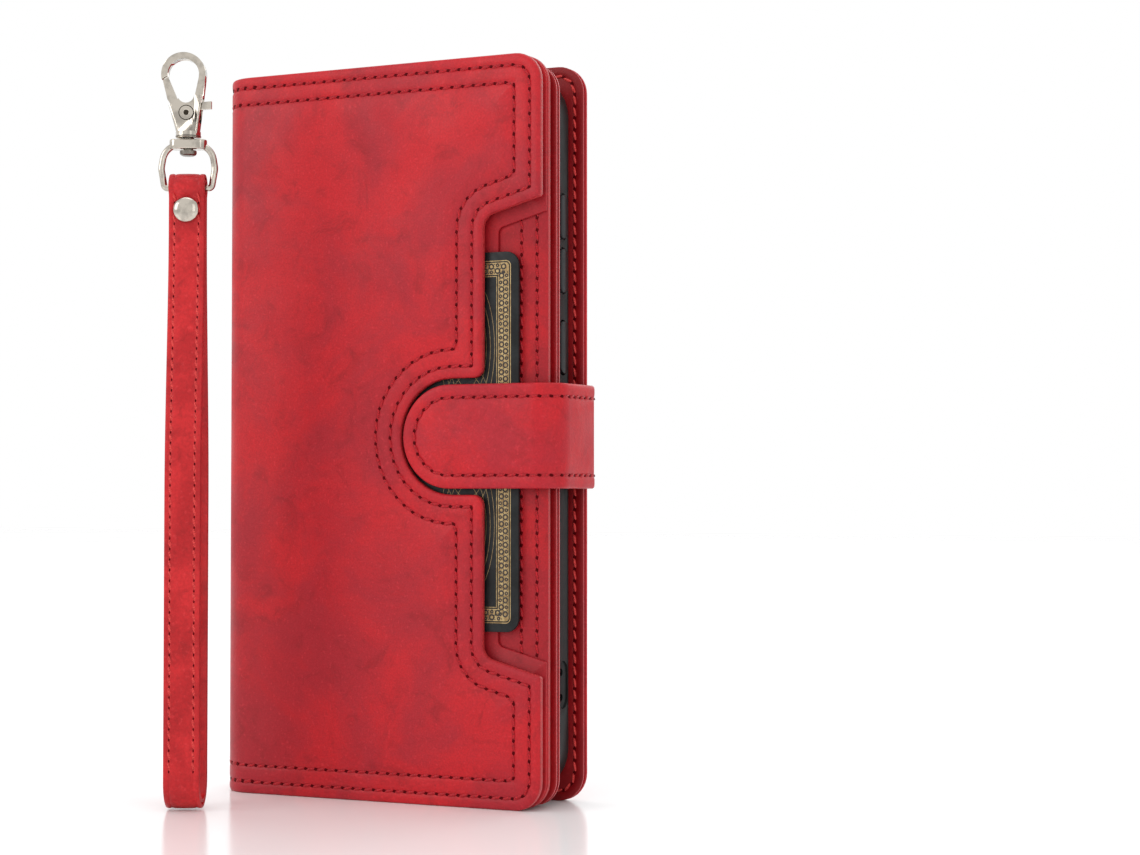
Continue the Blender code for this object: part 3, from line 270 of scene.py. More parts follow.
def loft(bm, rows, closed_path=False):
    """Extrude a closed loop of points row by row; gives the last loop's edges."""
    place = bm.verts.layers.int.get("place") or bm.verts.layers.int.new("place")
    verts = [bm.verts.new(co) for co in rows[0]]
    for i, v in enumerate(verts):
        v[place] = i
    edges = first = [bm.edges.new(pair) for pair in zip(verts, verts[1:] + verts[:1])]
    for row in rows[1:]:
        grown = bmesh.ops.extrude_edge_only(bm, edges=edges)["geom"]
        edges = [e for e in grown if isinstance(e, bmesh.types.BMEdge) and e.is_boundary]
        for v in grown:
            if isinstance(v, bmesh.types.BMVert):
                v.co = row[v[place]]
    if closed_path:
        bmesh.ops.bridge_loops(bm, edges=first + edges)
    return first, edges


def panel_mesh(corners, section, steps=7):
    """A panel laid flat; its section goes from the middle of the inner face,
    round the rim, to the middle of the outer face, as (inset, depth) pairs."""
    bm = bmesh.new()
    rows = [[(p.x, depth, p.y) for p in rounded(inset(corners, d), steps)] for d, depth in section]
    first, last = loft(bm, rows)
    for edges in (first, last):
        bmesh.ops.triangle_fill(bm, edges=edges, use_beauty=True)
    bmesh.ops.recalc_face_normals(bm, faces=bm.faces)
    return bm


def slice_at(bm, places):
    """Cut lines across a panel, so that it can bend there."""
    for place in places:
        bmesh.ops.bisect_plane(bm, geom=all_of(bm), plane_co=(place, 0, 0), plane_no=(1, 0, 0), dist=1e-5)


def end_at(bm, place):
    """Take off what lies left of a place and close the end."""
    bmesh.ops.bisect_plane(bm, geom=all_of(bm), plane_co=(place, 0, 0), plane_no=(-1, 0, 0),
                           clear_outer=True, dist=1e-5)
    bmesh.ops.holes_fill(bm, edges=[e for e in bm.edges if e.is_boundary], sides=0)


def bend(bm, wrap):
    for v in bm.verts:
        spot = wrap(v.co.x, v.co.y)
        v.co = (spot.x, spot.y, v.co.z)


def steps_between(start, end, count):
    return [start + (end - start) * i / count for i in range(count + 1)]


def prism(outline, low_y, high_y):
    """A straight block from an outline in x and z."""
    bm = bmesh.new()
    face = bm.faces.new([bm.verts.new((p.x, low_y, p.y)) for p in outline])
    grown = bmesh.ops.extrude_face_region(bm, geom=[face])["geom"]
    bmesh.ops.translate(bm, vec=(0, high_y - low_y, 0),
                        verts=[v for v in grown if isinstance(v, bmesh.types.BMVert)])
    bmesh.ops.recalc_face_normals(bm, faces=bm.faces)
    return bm


def cut_out(bm, others):
    """A mesh with other meshes cut from it."""
    things = []
    for source in [bm] + others:
        mesh = bpy.data.meshes.new("work")
        source.to_mesh(mesh)
        source.free()
        thing = bpy.data.objects.new("work", mesh)
        bpy.context.scene.collection.objects.link(thing)
        things.append(thing)
    for other in things[1:]:
        cut = things[0].modifiers.new("cut", "BOOLEAN")
        cut.operation, cut.solver, cut.object = "DIFFERENCE", "EXACT", other
    depsgraph = bpy.context.evaluated_depsgraph_get()
    ready = bpy.data.meshes.new_from_object(things[0].evaluated_get(depsgraph))
    for thing in things:
        bpy.data.objects.remove(thing, do_unlink=True)
    made = bmesh.new()
    made.from_mesh(ready)
    bmesh.ops.remove_doubles(made, verts=made.verts, dist=1e-4)
    return made


def spun(profile, steps=48):
    """A turned piece about Z from (radius, height) points."""
    bm = bmesh.new()
    verts = [bm.verts.new((r, 0.0, h)) for r, h in profile]
    edges = [bm.edges.new(pair) for pair in zip(verts, verts[1:])]
    if len(set(profile)) < len(profile):
        bmesh.ops.remove_doubles(bm, verts=bm.verts, dist=1e-6)
        verts, edges = bm.verts[:], bm.edges[:]
    bmesh.ops.spin(bm, geom=verts + edges, axis=(0, 0, 1), cent=(0, 0, 0), steps=steps,
                   angle=math.tau, use_merge=True)
    bmesh.ops.remove_doubles(bm, verts=bm.verts, dist=1e-4)
    bmesh.ops.recalc_face_normals(bm, faces=bm.faces)
    return bm


def wire(path, radius, sides=16, flat=1.0):
    """A closed bar of round section along a closed path in x and z."""
    count = len(path)
    rows = []
    for i, here in enumerate(path):
        along = (path[(i + 1) % count] - path[i - 1]).normalized()
        out = Vector((-along.y, along.x))
        row = []
        for k in range(sides):
            a = math.tau * k / sides
            side = here + out * (radius * math.cos(a))
            row.append((side.x, radius * flat * math.sin(a), side.y))
        rows.append(row)
    bm = bmesh.new()
    loft(bm, rows, closed_path=True)
    bmesh.ops.recalc_face_normals(bm, faces=bm.faces)
    return bm


def piece(name, bm, materials, body=None, replaces=(), smooth=40.0, place=None):
    """Turn a mesh in millimetres into a finished object of the scene."""
    if place is not None:
        bmesh.ops.transform(bm, matrix=place, verts=bm.verts)
    bmesh.ops.scale(bm, vec=(MM, MM, MM), verts=bm.verts)
    mesh = bpy.data.meshes.new(name)
    bm.to_mesh(mesh)
    bm.free()
    mesh.shade_smooth()
    mesh.set_sharp_from_angle(angle=math.radians(smooth))
    made = bpy.data.objects.new(name, mesh)
    bpy.context.scene.collection.objects.link(made)
    for material in materials if isinstance(materials, (list, tuple)) else [materials]:
        mesh.materials.append(material)
    if replaces:
        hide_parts(*replaces)
    if body:
        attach(made, body)
    return made


def mark_cut_edges(bm, material=1, steepest=0.35):
    """Faces that look sideways out of a flat panel get the cut edge's finish."""
    for f in bm.faces:
        if abs(f.normal.y) < steepest:
            f.material_index = material


# ---------------------------------------------------------------------- finishes
class Finish:
    """A material under construction: its nodes and how they are joined."""

    def __init__(self, name):
        self.material = bpy.data.materials.new(name)
        self.material.use_nodes = True
        self.tree = self.material.node_tree
        self.shader = self.tree.nodes["Principled BSDF"]
        self.at = self.add("ShaderNodeTexCoord").outputs["Object"]
        self.bump_from = None

    def add(self, kind, **inputs):
        node = self.tree.nodes.new(kind)
        for name, value in inputs.items():
            self.put(node, name, value)
        return node

    def put(self, node, name, value):
        socket = node.inputs[name]
        if isinstance(value, bpy.types.NodeSocket):
            self.tree.links.new(value, socket)
        else:
            socket.default_value = value

    def set(self, **inputs):
        for name, value in inputs.items():
            self.put(self.shader, name.replace("_", " "), value)

    def noise(self, size, detail=3.0, rough=0.5, stretch=None, distortion=0.0):
        """Noise whose features are about this many millimetres across."""
        node = self.add("ShaderNodeTexNoise")
        at = self.at
        if stretch:
            turned = self.add("ShaderNodeMapping", Vector=at)
            turned.inputs["Scale"].default_value = stretch
            at = turned.outputs["Vector"]
        self.put(node, "Vector", at)
        for name, value in (("Scale", 1000.0 / size), ("Detail", detail), ("Roughness", rough),
                            ("Distortion", distortion)):
            self.put(node, name, value)
        return node.outputs["Fac"]

    def pebbles(self, size):
        """Rounded cells, this many millimetres across."""
        node = self.add("ShaderNodeTexVoronoi", Vector=self.at, Scale=1000.0 / size)
        node.feature = "SMOOTH_F1"
        return node.outputs["Distance"]

    def ramp(self, value, low_at, high_at, low_to=0.0, high_to=1.0):
        """A value spread smoothly from one range to another."""
        node = self.add("ShaderNodeMapRange", Value=value)
        node.interpolation_type = "SMOOTHSTEP"
        for i, number in enumerate((low_at, high_at, low_to, high_to)):
            node.inputs[i + 1].default_value = number
        return node.outputs["Result"]

    def mix(self, factor, a, b):
        """A colour between two colours; the factor is always a pattern."""
        node = self.add("ShaderNodeMix")
        node.data_type, node.blend_type = "RGBA", "MIX"
        node.clamp_factor = True
        for index, value in ((0, factor), (6, a), (7, b)):
            if isinstance(value, bpy.types.NodeSocket):
                self.tree.links.new(value, node.inputs[index])
            else:
                node.inputs[index].default_value = (*value, 1.0)
        return node.outputs[2]

    def bump(self, height, distance_mm, strength):
        """Relief laid over any earlier relief."""
        node = self.add("ShaderNodeBump", Height=height, Distance=distance_mm * MM, Strength=strength)
        if self.bump_from:
            self.put(node, "Normal", self.bump_from)
        self.bump_from = node.outputs["Normal"]
        self.put(self.shader, "Normal", self.bump_from)


CREASE_RELIEF = 0.08         # faint creases in every leather, in millimetres


def srgb(red, green, blue):
    """Linear colour from an 8-bit one."""
    return tuple(c / 12.92 if c <= 0.04045 else ((c + 0.055) / 1.055) ** 2.4
                 for c in (red / 255.0, green / 255.0, blue / 255.0))


def leather(name, bright, dusky, deep, rough=(0.40, 0.56), grain=0.3, grain_depth=0.03, patch=30.0):
    """Pull-up leather: cloudy colour, fine pebbled grain, faint creases."""
    f = Finish(name)
    clouds = f.noise(patch, 5.0, 0.62, distortion=0.6)
    colour = f.mix(f.ramp(clouds, 0.38, 0.62), srgb(*dusky), srgb(*bright))
    streaks = f.noise(patch * 0.28, 6.0, 0.7, distortion=1.2)
    colour = f.mix(f.ramp(streaks, 0.48, 0.76, 0.0, 0.6), colour, srgb(*deep))
    specks = f.noise(grain * 1.6, 2.0)
    colour = f.mix(f.ramp(specks, 0.35, 0.62, 0.22, 0.0), colour, srgb(*deep))
    lighter = f.noise(grain * 2.6, 2.0)
    colour = f.mix(f.ramp(lighter, 0.58, 0.75, 0.0, 0.2), colour,
                   srgb(*[min(255, c + 38) for c in bright]))
    f.set(Base_Color=colour)
    f.set(Roughness=f.ramp(f.noise(patch * 0.5, 4.0), 0.3, 0.7, rough[0], rough[1]))
    f.set(Specular_IOR_Level=0.3)
    pebbles = f.pebbles(grain)
    f.bump(f.noise(patch * 0.9, 3.0, 0.5, distortion=0.4), 0.55, 0.5)
    f.bump(f.noise(4.2, 4.0, 0.62, distortion=1.6), CREASE_RELIEF, 0.8)
    f.bump(pebbles, grain_depth, 0.75)
    f.bump(f.noise(grain * 0.7, 2.0), grain_depth * 0.6, 0.6)
    return f.material


def cut_edge(name, colour, core):
    """Raw or painted cut edge of leather, a little fibrous."""
    f = Finish(name)
    fibres = f.noise(0.5, 4.0, 0.6, stretch=(1.0, 4.0, 1.0))
    f.set(Base_Color=f.mix(f.ramp(fibres, 0.35, 0.65), srgb(*core), srgb(*colour)))
    f.set(Roughness=f.ramp(fibres, 0.3, 0.7, 0.38, 0.6))
    f.bump(fibres, 0.05, 0.7)
    return f.material


def thread(name, colour, dark, shine=0.3):
    """Twisted sewing thread."""
    f = Finish(name)
    f.set(Specular_IOR_Level=shine)
    twist = f.noise(0.22, 3.0, 0.6)
    f.set(Base_Color=f.mix(f.ramp(twist, 0.35, 0.62), srgb(*dark), srgb(*colour)))
    f.set(Roughness=f.ramp(f.noise(0.6), 0.3, 0.7, 0.45, 0.62))
    f.bump(twist, 0.05, 0.8)
    return f.material


def plated(name, tint, rough):
    """Warm nickel plating with faint polishing marks."""
    f = Finish(name)
    # darker patches at random over the plating
    plating_patches = f.noise(3.0, 4.0, 0.6)
    f.set(Base_Color=f.mix(f.ramp(plating_patches, 0.42, 0.66, 0.0, 0.6), srgb(*tint),
                           srgb(*[int(c * 0.72) for c in tint])))
    f.set(Metallic=1.0)
    marks = f.noise(0.9, 5.0, 0.7, stretch=(1.0, 1.0, 0.25))
    f.set(Roughness=f.ramp(marks, 0.3, 0.7, rough[0], rough[1]))
    f.bump(marks, 0.006, 0.5)
    f.bump(f.noise(2.4, 2.0), 0.03, 0.35)
    return f.material


def moulded(name, colour, rough=(0.36, 0.46)):
    """Soft moulded plastic with a fine spark-eroded texture."""
    f = Finish(name)
    tone = f.noise(18.0, 3.0)
    darker = srgb(*[int(c * 0.85) for c in colour])
    f.set(Base_Color=f.mix(f.ramp(tone, 0.35, 0.65), darker, srgb(*colour)))
    f.set(Roughness=f.ramp(f.noise(2.5, 4.0), 0.3, 0.7, rough[0], rough[1]))
    f.set(Specular_IOR_Level=0.3)
    f.bump(f.noise(0.25, 2.0), 0.012, 0.6)
    return f.material


def fibrous(name, colour, other, size=0.8):
    """Pressed board or foam, seen only in gaps."""
    f = Finish(name)
    speck = f.noise(size, 5.0, 0.7)
    f.set(Base_Color=f.mix(f.ramp(speck, 0.35, 0.65), srgb(*colour), srgb(*other)))
    f.set(Roughness=f.ramp(speck, 0.3, 0.7, 0.8, 0.95))
    f.bump(speck, 0.08, 0.7)
    return f.material


COVER = leather("cover_leather", (190, 22, 32), (164, 25, 38), (128, 10, 20))
BACK_COVER = leather("back_cover_leather", (194, 26, 36), (172, 26, 38), (140, 12, 22), patch=38.0)
WINDOW_LEATHER = leather("window_leather", (186, 18, 28), (158, 20, 32), (120, 8, 16), grain=0.28)
TONGUE_LEATHER = leather("tongue_leather", (190, 20, 31), (170, 26, 40), (136, 12, 22), grain=0.34, patch=22.0)
LINING = leather("lining_leather", (148, 8, 16), (132, 8, 15), (108, 5, 11), rough=(0.42, 0.55),
                 grain=0.26, patch=40.0)
PAGE_LEATHER = leather("page_leather", (160, 10, 18), (144, 9, 17), (118, 6, 12), rough=(0.36, 0.5),
                       grain=0.26, patch=36.0)
STRAP_RED = leather("strap_leather", (200, 34, 38), (176, 22, 28), (136, 12, 16), rough=(0.34, 0.5),
                    grain=0.42, grain_depth=0.06, patch=12.0)
PALE_EDGE = cut_edge("pale_cut_edge", (226, 112, 116), (176, 48, 54))
RED_EDGE = cut_edge("red_cut_edge", (196, 50, 54), (142, 20, 26))
HOLE_EDGE = cut_edge("cutout_edge", (226, 52, 44), (188, 28, 30))
RED_THREAD = thread("red_thread", (190, 20, 34), (120, 6, 16))
NEEDLE_HOLE_SHADOW = thread("needle_hole_shadow", (96, 2, 10), (58, 0, 4), shine=0.05)
STRAP_THREAD = thread("strap_thread", (226, 70, 66), (160, 24, 26))
NICKEL = plated("warm_nickel", (198, 190, 178), rough=(0.08, 0.18))
# darker copy of the nickel: painted dark reflection, for the washer, swivel pin, collar disc and clasp pin
NICKEL_PAINTED_DARK = plated("nickel_painted_dark_reflection", (128, 122, 114), rough=(0.2, 0.34))
# near-black copy of the nickel: painted shade in the clasp's groove and on the recessed pin heads
GROOVE_PAINTED_SHADE = plated("groove_painted_shade", (62, 56, 48), rough=(0.35, 0.5))
STEEL = plated("plain_steel", (130, 130, 132), rough=(0.3, 0.42))
SHELL_BLACK = moulded("shell_plastic", (24, 27, 27))
KEY_BLACK = moulded("key_plastic", (26, 28, 30), rough=(0.3, 0.4))
BOARD = fibrous("stiffener_board", (150, 136, 116), (118, 104, 88))
FOAM = fibrous("cover_foam", (206, 202, 196), (170, 166, 160), size=0.5)


# ---------------------------------------------------------------- outer leather
def cover_section(thick, rim, puff, groove=0.22):
    """Section of a padded cover panel, with a groove under each stitch row."""
    inner = [(10.5, thick), (1.3, thick), (0.9, rim - 0.15), (0.45, rim), (0.12, rim - 0.12)]
    edge = [(0.0, rim - 0.35), (0.0, 0.62), (0.08, 0.36), (0.26, 0.14), (0.6, 0.0), (1.1, -0.06)]
    outer = []
    for row in (ROW_1, ROW_2):
        outer += [(row - 1.0, -0.05), (row - 0.5, 0.03), (row - 0.22, groove * 0.7), (row, groove),
                  (row + 0.22, groove * 0.7), (row + 0.5, 0.03), (row + 1.0, -0.05)]
    outer += [(8.6, -puff * 0.55), (9.6, -puff * 0.85), (11.0, -puff)]
    return inner + edge + outer


def make_front_cover():
    bm = panel_mesh(front_corners(), cover_section(LEATHER, 1.75, 0.35), steps=9)
    turn_end = FRONT_FLAT_X - FRONT_R * math.pi / 2
    slice_at(bm, steps_between(FRONT_FLAT_X + 0.01, turn_end, 20) + [FRONT_FLAT_X + 2.0, FRONT_FLAT_X + 5.0])
    end_at(bm, FRONT_END)
    ease_puff(bm, FRONT_FLAT_X + 5.0, turn_end + 4.0)
    mark_cut_edges(bm)
    bend(bm, front_wrap)
    made = piece("front_cover_leather", bm, [COVER, RED_EDGE], replaces=("front_leather", "spine_leather"))
    fold_between(made, Vector((-1.0, 1.0)))


def ease_puff(bm, start, end):
    """The padding stops before the spine, and so does the rise over it."""
    for v in bm.verts:
        if v.co.y < -0.06 and v.co.x < start:
            share = max(0.0, min(1.0, (v.co.x - end) / (start - end)))
            v.co.y *= share


def fold_between(made, way, reach=4.4):
    """Bake a piece's placement into its mesh."""
    way = way.normalized() * reach
    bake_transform(made)


def eyelet_along():
    """Where the eyelet sits along the back panel laid flat."""
    return BACK_FLAT_X - R1 * tilt - FLAT / 2.0


def make_back_cover():
    corners = plain_corners(PANEL_START, EDGE_X, 0.0, HEIGHT)
    bm = panel_mesh(corners, cover_section(LEATHER, 1.15, 0.12), steps=9)
    turn_end = BACK_FLAT_X - R1 * tilt - FLAT - R2 * (math.pi / 2 - tilt)
    places = steps_between(BACK_FLAT_X + 0.01, BACK_FLAT_X - R1 * tilt, 6)
    places += steps_between(turn_end + R2 * (math.pi / 2 - tilt), turn_end, 8)
    places += [CREASE_X + d for d in (-3.0, -1.4, -0.6, 0.0, 0.6, 1.4, 3.0)]
    slice_at(bm, places)
    end_at(bm, BACK_END)
    for v in bm.verts:
        if v.co.y < 0.5:
            v.co.y += CREASE_DEEP * math.exp(-((v.co.x - CREASE_X) / CREASE_WIDE) ** 2)
    hole = prism(rounded(camera_corners(), 9), -3.0, 4.0)
    barrel = prism([Vector((eyelet_along() + EYELET_BORE * math.cos(a), EYELET_Z + EYELET_BORE * math.sin(a)))
                    for a in [math.tau * i / 40 for i in range(40)]], -3.0, 4.0)
    bm = cut_out(bm, [hole, barrel])
    mark_cut_edges(bm)
    for f in bm.faces:       # walls of the camera cut-out
        middle = f.calc_center_median()
        if f.material_index == 1 and -30.0 < middle.x < EDGE_X - 2.0 and 100.0 < middle.z < HEIGHT - 2.0:
            f.material_index = 2
    bend(bm, back_wrap)
    made = piece("back_cover_leather", bm, [BACK_COVER, RED_EDGE, HOLE_EDGE], replaces=("back_leather",))
    fold_between(made, Vector((0.2, 1.0)), reach=2.4)


# --------------------------------------------------------------------- stitching
def along_path(points, pitch):
    """Evenly spaced points along an open line of points."""
    lengths = [0.0]
    for a, b in zip(points, points[1:]):
        lengths.append(lengths[-1] + (b - a).length)
    count = max(1, round(lengths[-1] / pitch))
    spots, k = [], 0
    for i in range(count + 1):
        s = lengths[-1] * i / count
        while k < len(points) - 2 and lengths[k + 1] < s:
            k += 1
        span = lengths[k + 1] - lengths[k] or 1.0
        spots.append(points[k].lerp(points[k + 1], (s - lengths[k]) / span))
    return spots


class Stitches:
    """Rows of stitches in one mesh: threads, and dark discs of painted shadow at the needle holes between."""

    def __init__(self, width=0.72, lift=0.05, slant=13.0, hole=0.46):
        self.blobs = []
        self.width, self.lift, self.slant, self.hole = width, lift, slant, hole

    def blob(self, matrix, across, rows, material):
        self.blobs.append((matrix, across, rows, material))

    def mesh(self, batch=40):
        """All the stitches; small batches keep the work quick."""
        whole = bmesh.new()
        for i in range(0, len(self.blobs), batch):
            part = bmesh.new()
            for matrix, across, rows, material in self.blobs[i:i + batch]:
                made = bmesh.ops.create_uvsphere(part, u_segments=across, v_segments=rows, radius=1.0,
                                                 matrix=matrix)["verts"]
                for face in {f for v in made for f in v.link_faces}:
                    face.material_index = material
            merge_into(whole, part)
        return whole

    def row(self, points, wrap, depth=0.12, pitch=PITCH):
        """Sew along points of a panel laid flat."""
        spots = along_path(points, pitch)
        placed = []
        for spot in spots:
            on, under = wrap(spot.x, depth), wrap(spot.x, depth + 0.5)
            here = Vector((on.x, on.y, spot.y))
            out = (Vector((on.x - under.x, on.y - under.y, 0.0))).normalized()
            placed.append((here, out))
        for (a, out_a), (b, out_b) in zip(placed, placed[1:]):
            out = (out_a + out_b).normalized()
            along = (b - a)
            length = along.length
            along = Matrix.Rotation(math.radians(self.slant), 3, out) @ along.normalized()
            across = out.cross(along)
            middle = (a + b) / 2.0 + out * self.lift
            turn = Matrix((across, out, along)).transposed().to_4x4()
            size = Matrix.Diagonal((self.width / 2, self.width * 0.42, length / 2 - 0.18, 1.0))
            self.blob(Matrix.Translation(middle) @ turn @ size, 6, 6, 0)
        # dark discs of painted shadow at the needle holes
        for i, (here, out) in enumerate(placed):
            before, after = placed[max(i - 1, 0)][0], placed[min(i + 1, len(placed) - 1)][0]
            along = Matrix.Rotation(math.radians(-self.slant), 3, out) @ (after - before).normalized()
            turn = Matrix((out.cross(along), out, along)).transposed().to_4x4()
            size = Matrix.Diagonal((self.hole * 0.86, 0.12, self.hole * 1.3, 1.0))
            self.blob(Matrix.Translation(here + out * 0.04) @ turn @ size, 6, 6, 1)

    def finish(self, name, body=None, material=None, place=None):
        return piece(name, self.mesh(), [material or RED_THREAD, NEEDLE_HOLE_SHADOW], body=body,
                     place=place)


def row_line(corners, distance, first, last):
    """Part of an outline's inner row, between two of its corners."""
    steps = 9
    line = rounded(inset(corners, distance), steps)
    starts, at = [], 0
    for _, _, radius in corners:
        starts.append(at)
        at += steps + 1 if radius > 0.0 else 1
    starts.append(at)
    return line[starts[first]:starts[last + 1]]


def sew_front():
    rows = Stitches()
    corners = front_corners()
    for distance in (ROW_1, ROW_2):
        line = row_line(corners, distance, 1, len(corners) - 2)
        end = FRONT_FLAT_X - 6.5 if distance == ROW_1 else FRONT_FLAT_X - 11.0
        line = [Vector((end, line[0].y))] + line + [Vector((end, line[-1].y))]
        rows.row(line, front_wrap, depth=0.16)
        for z in (line[0].y, line[-1].y):
            rows.row([Vector((end + 0.3, z + 0.25)), Vector((end + 3 * PITCH, z + 0.25))], front_wrap, depth=0.1)
    made = rows.finish("front_stitches")
    fold_between(made, Vector((-1.0, 1.0)))


def sew_back():
    rows = Stitches()
    corners = plain_corners(PANEL_START, EDGE_X, 0.0, HEIGHT)
    line = row_line(corners, ROW_1, 1, 2)
    stop = eyelet_along() + 6.0
    rows.row([Vector((stop, line[0].y))] + line + [Vector((BACK_END, line[-1].y))], back_wrap, depth=0.16)
    camera = camera_corners()
    line = row_line(corners, ROW_2, 1, 2)
    low_end = camera[2][1] - 2.5
    rows.row([Vector((stop, line[0].y))] + line[:10] + [Vector((line[9].x, low_end))], back_wrap, depth=0.16)
    rows.row([Vector((camera[4][0] - 2.6, line[-1].y)), Vector((BACK_END, line[-1].y))], back_wrap, depth=0.16)
    made = rows.finish("back_stitches")
    fold_between(made, Vector((0.2, 1.0)), reach=2.4)


# ---------------------------------------------------------- layers of the covers
def flat_section(thick, rim=None, soft=0.14, groove_at=None, groove=0.15, middle=10.0):
    rim = thick if rim is None else rim
    section = [(middle, thick), (1.4, thick), (1.0, rim), (soft, rim)]
    section += [(0.0, rim - soft), (0.0, soft * 1.6), (soft * 0.5, soft * 0.6), (soft * 1.6, 0.0)]
    if groove_at:
        section += [(groove_at - 0.7, 0.0), (groove_at - 0.25, groove * 0.7), (groove_at, groove),
                    (groove_at + 0.25, groove * 0.7), (groove_at + 0.7, 0.0)]
    return section + [(middle, 0.0)]


def flat_panel(name, node, corners, section, wrap, materials, body, steps=9, edge=1):
    bm = panel_mesh(corners, section, steps)
    if edge:
        mark_cut_edges(bm, edge)
    bend(bm, wrap)
    bmesh.ops.recalc_face_normals(bm, faces=bm.faces)
    return piece(name, bm, materials, body=body, replaces=(node,))


def make_front_layers():
    left = low("front_base").x
    face = low("front_frame").y
    flat_panel("window_frame_leather", "front_frame", frame_corners(),
               flat_section(high("front_frame").y - face, middle=6.0), facing_front(face),
               [WINDOW_LEATHER, RED_EDGE], "front_cover")
    plain = plain_corners(left, FRONT_EDGE_X, 0.0, HEIGHT)
    face = low("front_base").y
    flat_panel("card_bed_leather", "front_base", plain, flat_section(high("front_base").y - face, 1.35),
               facing_front(face), [WINDOW_LEATHER, RED_EDGE], "front_cover")
    rows = Stitches()
    for distance in (ROW_1, ROW_2):
        x = FRONT_EDGE_X - distance
        rows.row([Vector((x, 29.0)), Vector((x, 138.0))], facing_front(face), depth=0.0)
    rows.finish("card_bed_stitches", "front_cover")
    face = high("front_lining").y
    plain = plain_corners(left, high("front_lining").x, 0.0, HEIGHT)
    flat_panel("front_inside_lining", "front_lining", plain,
               flat_section(face - low("front_lining").y, groove_at=2.6), facing_back(face),
               [LINING, PALE_EDGE], "front_cover")
    rows = Stitches()
    rows.row(row_line(plain, 2.6, 0, 3) + [Vector((left + 2.6, 2.6))], facing_back(face), depth=0.1)
    rows.finish("front_inside_stitches", "front_cover")

    pad = high("front_padding")
    start = low("front_padding")
    clear = 1.6              # of the foam from the window
    slot_x, notch_x, reach = WINDOW_X - clear, NOTCH_X - NOTCH_R - clear, NOTCH_R + clear
    bm = panel_mesh([(start.x, 3.0, 1.0), (pad.x, 3.0, 4.0), (pad.x, 26.0, 1.0),
                     (slot_x, 31.0, 1.5), (slot_x, WINDOW_Z - NOTCH_R - clear, 1.0),
                     (notch_x, WINDOW_Z - NOTCH_R - clear, reach),
                     (notch_x, WINDOW_Z + NOTCH_R + clear, reach),
                     (slot_x, WINDOW_Z + NOTCH_R + clear, 1.0), (slot_x, 136.0, 1.5),
                     (pad.x, 141.0, 1.0), (pad.x, HEIGHT - 3.0, 4.0),
                     (start.x, HEIGHT - 3.0, 1.0)],
                    [(5.0, 0.6), (0.25, 0.6), (0.0, 0.45), (0.0, 0.2), (0.25, 0.04), (1.2, 0.0), (5.0, 0.0)])
    bend(bm, facing_front(start.y))
    foam = piece("front_cover_foam", bm, FOAM, body="front_cover", replaces=("front_padding",))


def make_back_lining():
    face = low("back_lining").y
    left = low("back_lining").x
    corners = plain_corners(left, EDGE_X, 0.0, HEIGHT)
    bm = panel_mesh(corners, flat_section(high("back_lining").y - face, groove_at=2.2, groove=0.2), steps=9)
    bm = cut_out(bm, [prism(rounded(camera_corners(), 9), -3.0, 3.0)])
    mark_cut_edges(bm)
    bend(bm, facing_front(face))
    bmesh.ops.recalc_face_normals(bm, faces=bm.faces)
    piece("back_inside_lining", bm, [LINING, PALE_EDGE], body="back_cover", replaces=("back_lining",))
    rows = Stitches()
    line = row_line(corners, 2.2, 1, 2)
    rows.row([Vector((left + 1.0, 2.2))] + line + [Vector((left + 1.0, HEIGHT - 2.2))],
             facing_front(face), depth=0.1)
    rows.finish("back_inside_stitches", "back_cover", material=STRAP_THREAD)


def make_page():
    bottom, top = low("page_front_leather").z, high("page_front_leather").z
    for name, node, way in (("page_front", "page_front_leather", 1), ("page_back", "page_back_leather", -1)):
        face = low(node).y if way > 0 else high(node).y
        wrap = facing_front(face) if way > 0 else facing_back(face)
        thick = high(node).y - low(node).y
        corners = plain_corners(low(node).x, PAGE_RIGHT, bottom, top, right_r=6.0)
        flat_panel(name, node, corners, flat_section(thick, 0.72, groove_at=2.4, groove=0.12), wrap,
                   [PAGE_LEATHER, PALE_EDGE], "page")
        rows = Stitches(width=0.62)
        line = row_line(corners, 2.4, 1, 2)
        rows.row([Vector((PAGE_LEFT + 3.0, line[0].y))] + line + [Vector((PAGE_LEFT + 3.0, line[-1].y))],
                 wrap, depth=0.06)
        rows.finish(name + "_stitches", "page")
    rows = Stitches(width=0.55)
    for node in ("page_slot_upper", "page_slot_middle", "page_slot_lower"):
        lo, hi = low(node), high(node)
        corners = plain_corners(lo.x, hi.x, lo.z, hi.z, right_r=0.3)
        flat_panel(node + "_leather", node, corners,
                   [(4.0, hi.y - lo.y), (0.15, hi.y - lo.y), (0.0, hi.y - lo.y - 0.1), (0.0, 0.12),
                    (0.1, 0.03), (0.3, 0.0), (4.0, 0.0)],
                   facing_front(lo.y), [PAGE_LEATHER, PALE_EDGE], "page")
        rows.row([Vector((hi.x - 2.0, lo.z + 1.0)), Vector((hi.x - 2.0, hi.z - 1.2))], facing_front(lo.y), 0.0)
        rows.row([Vector((hi.x - 3.6, hi.z - 1.0)), Vector((hi.x - 0.6, hi.z - 1.0))], facing_front(lo.y), 0.0,
                 pitch=1.0)
    rows.finish("page_slot_stitches", "page")


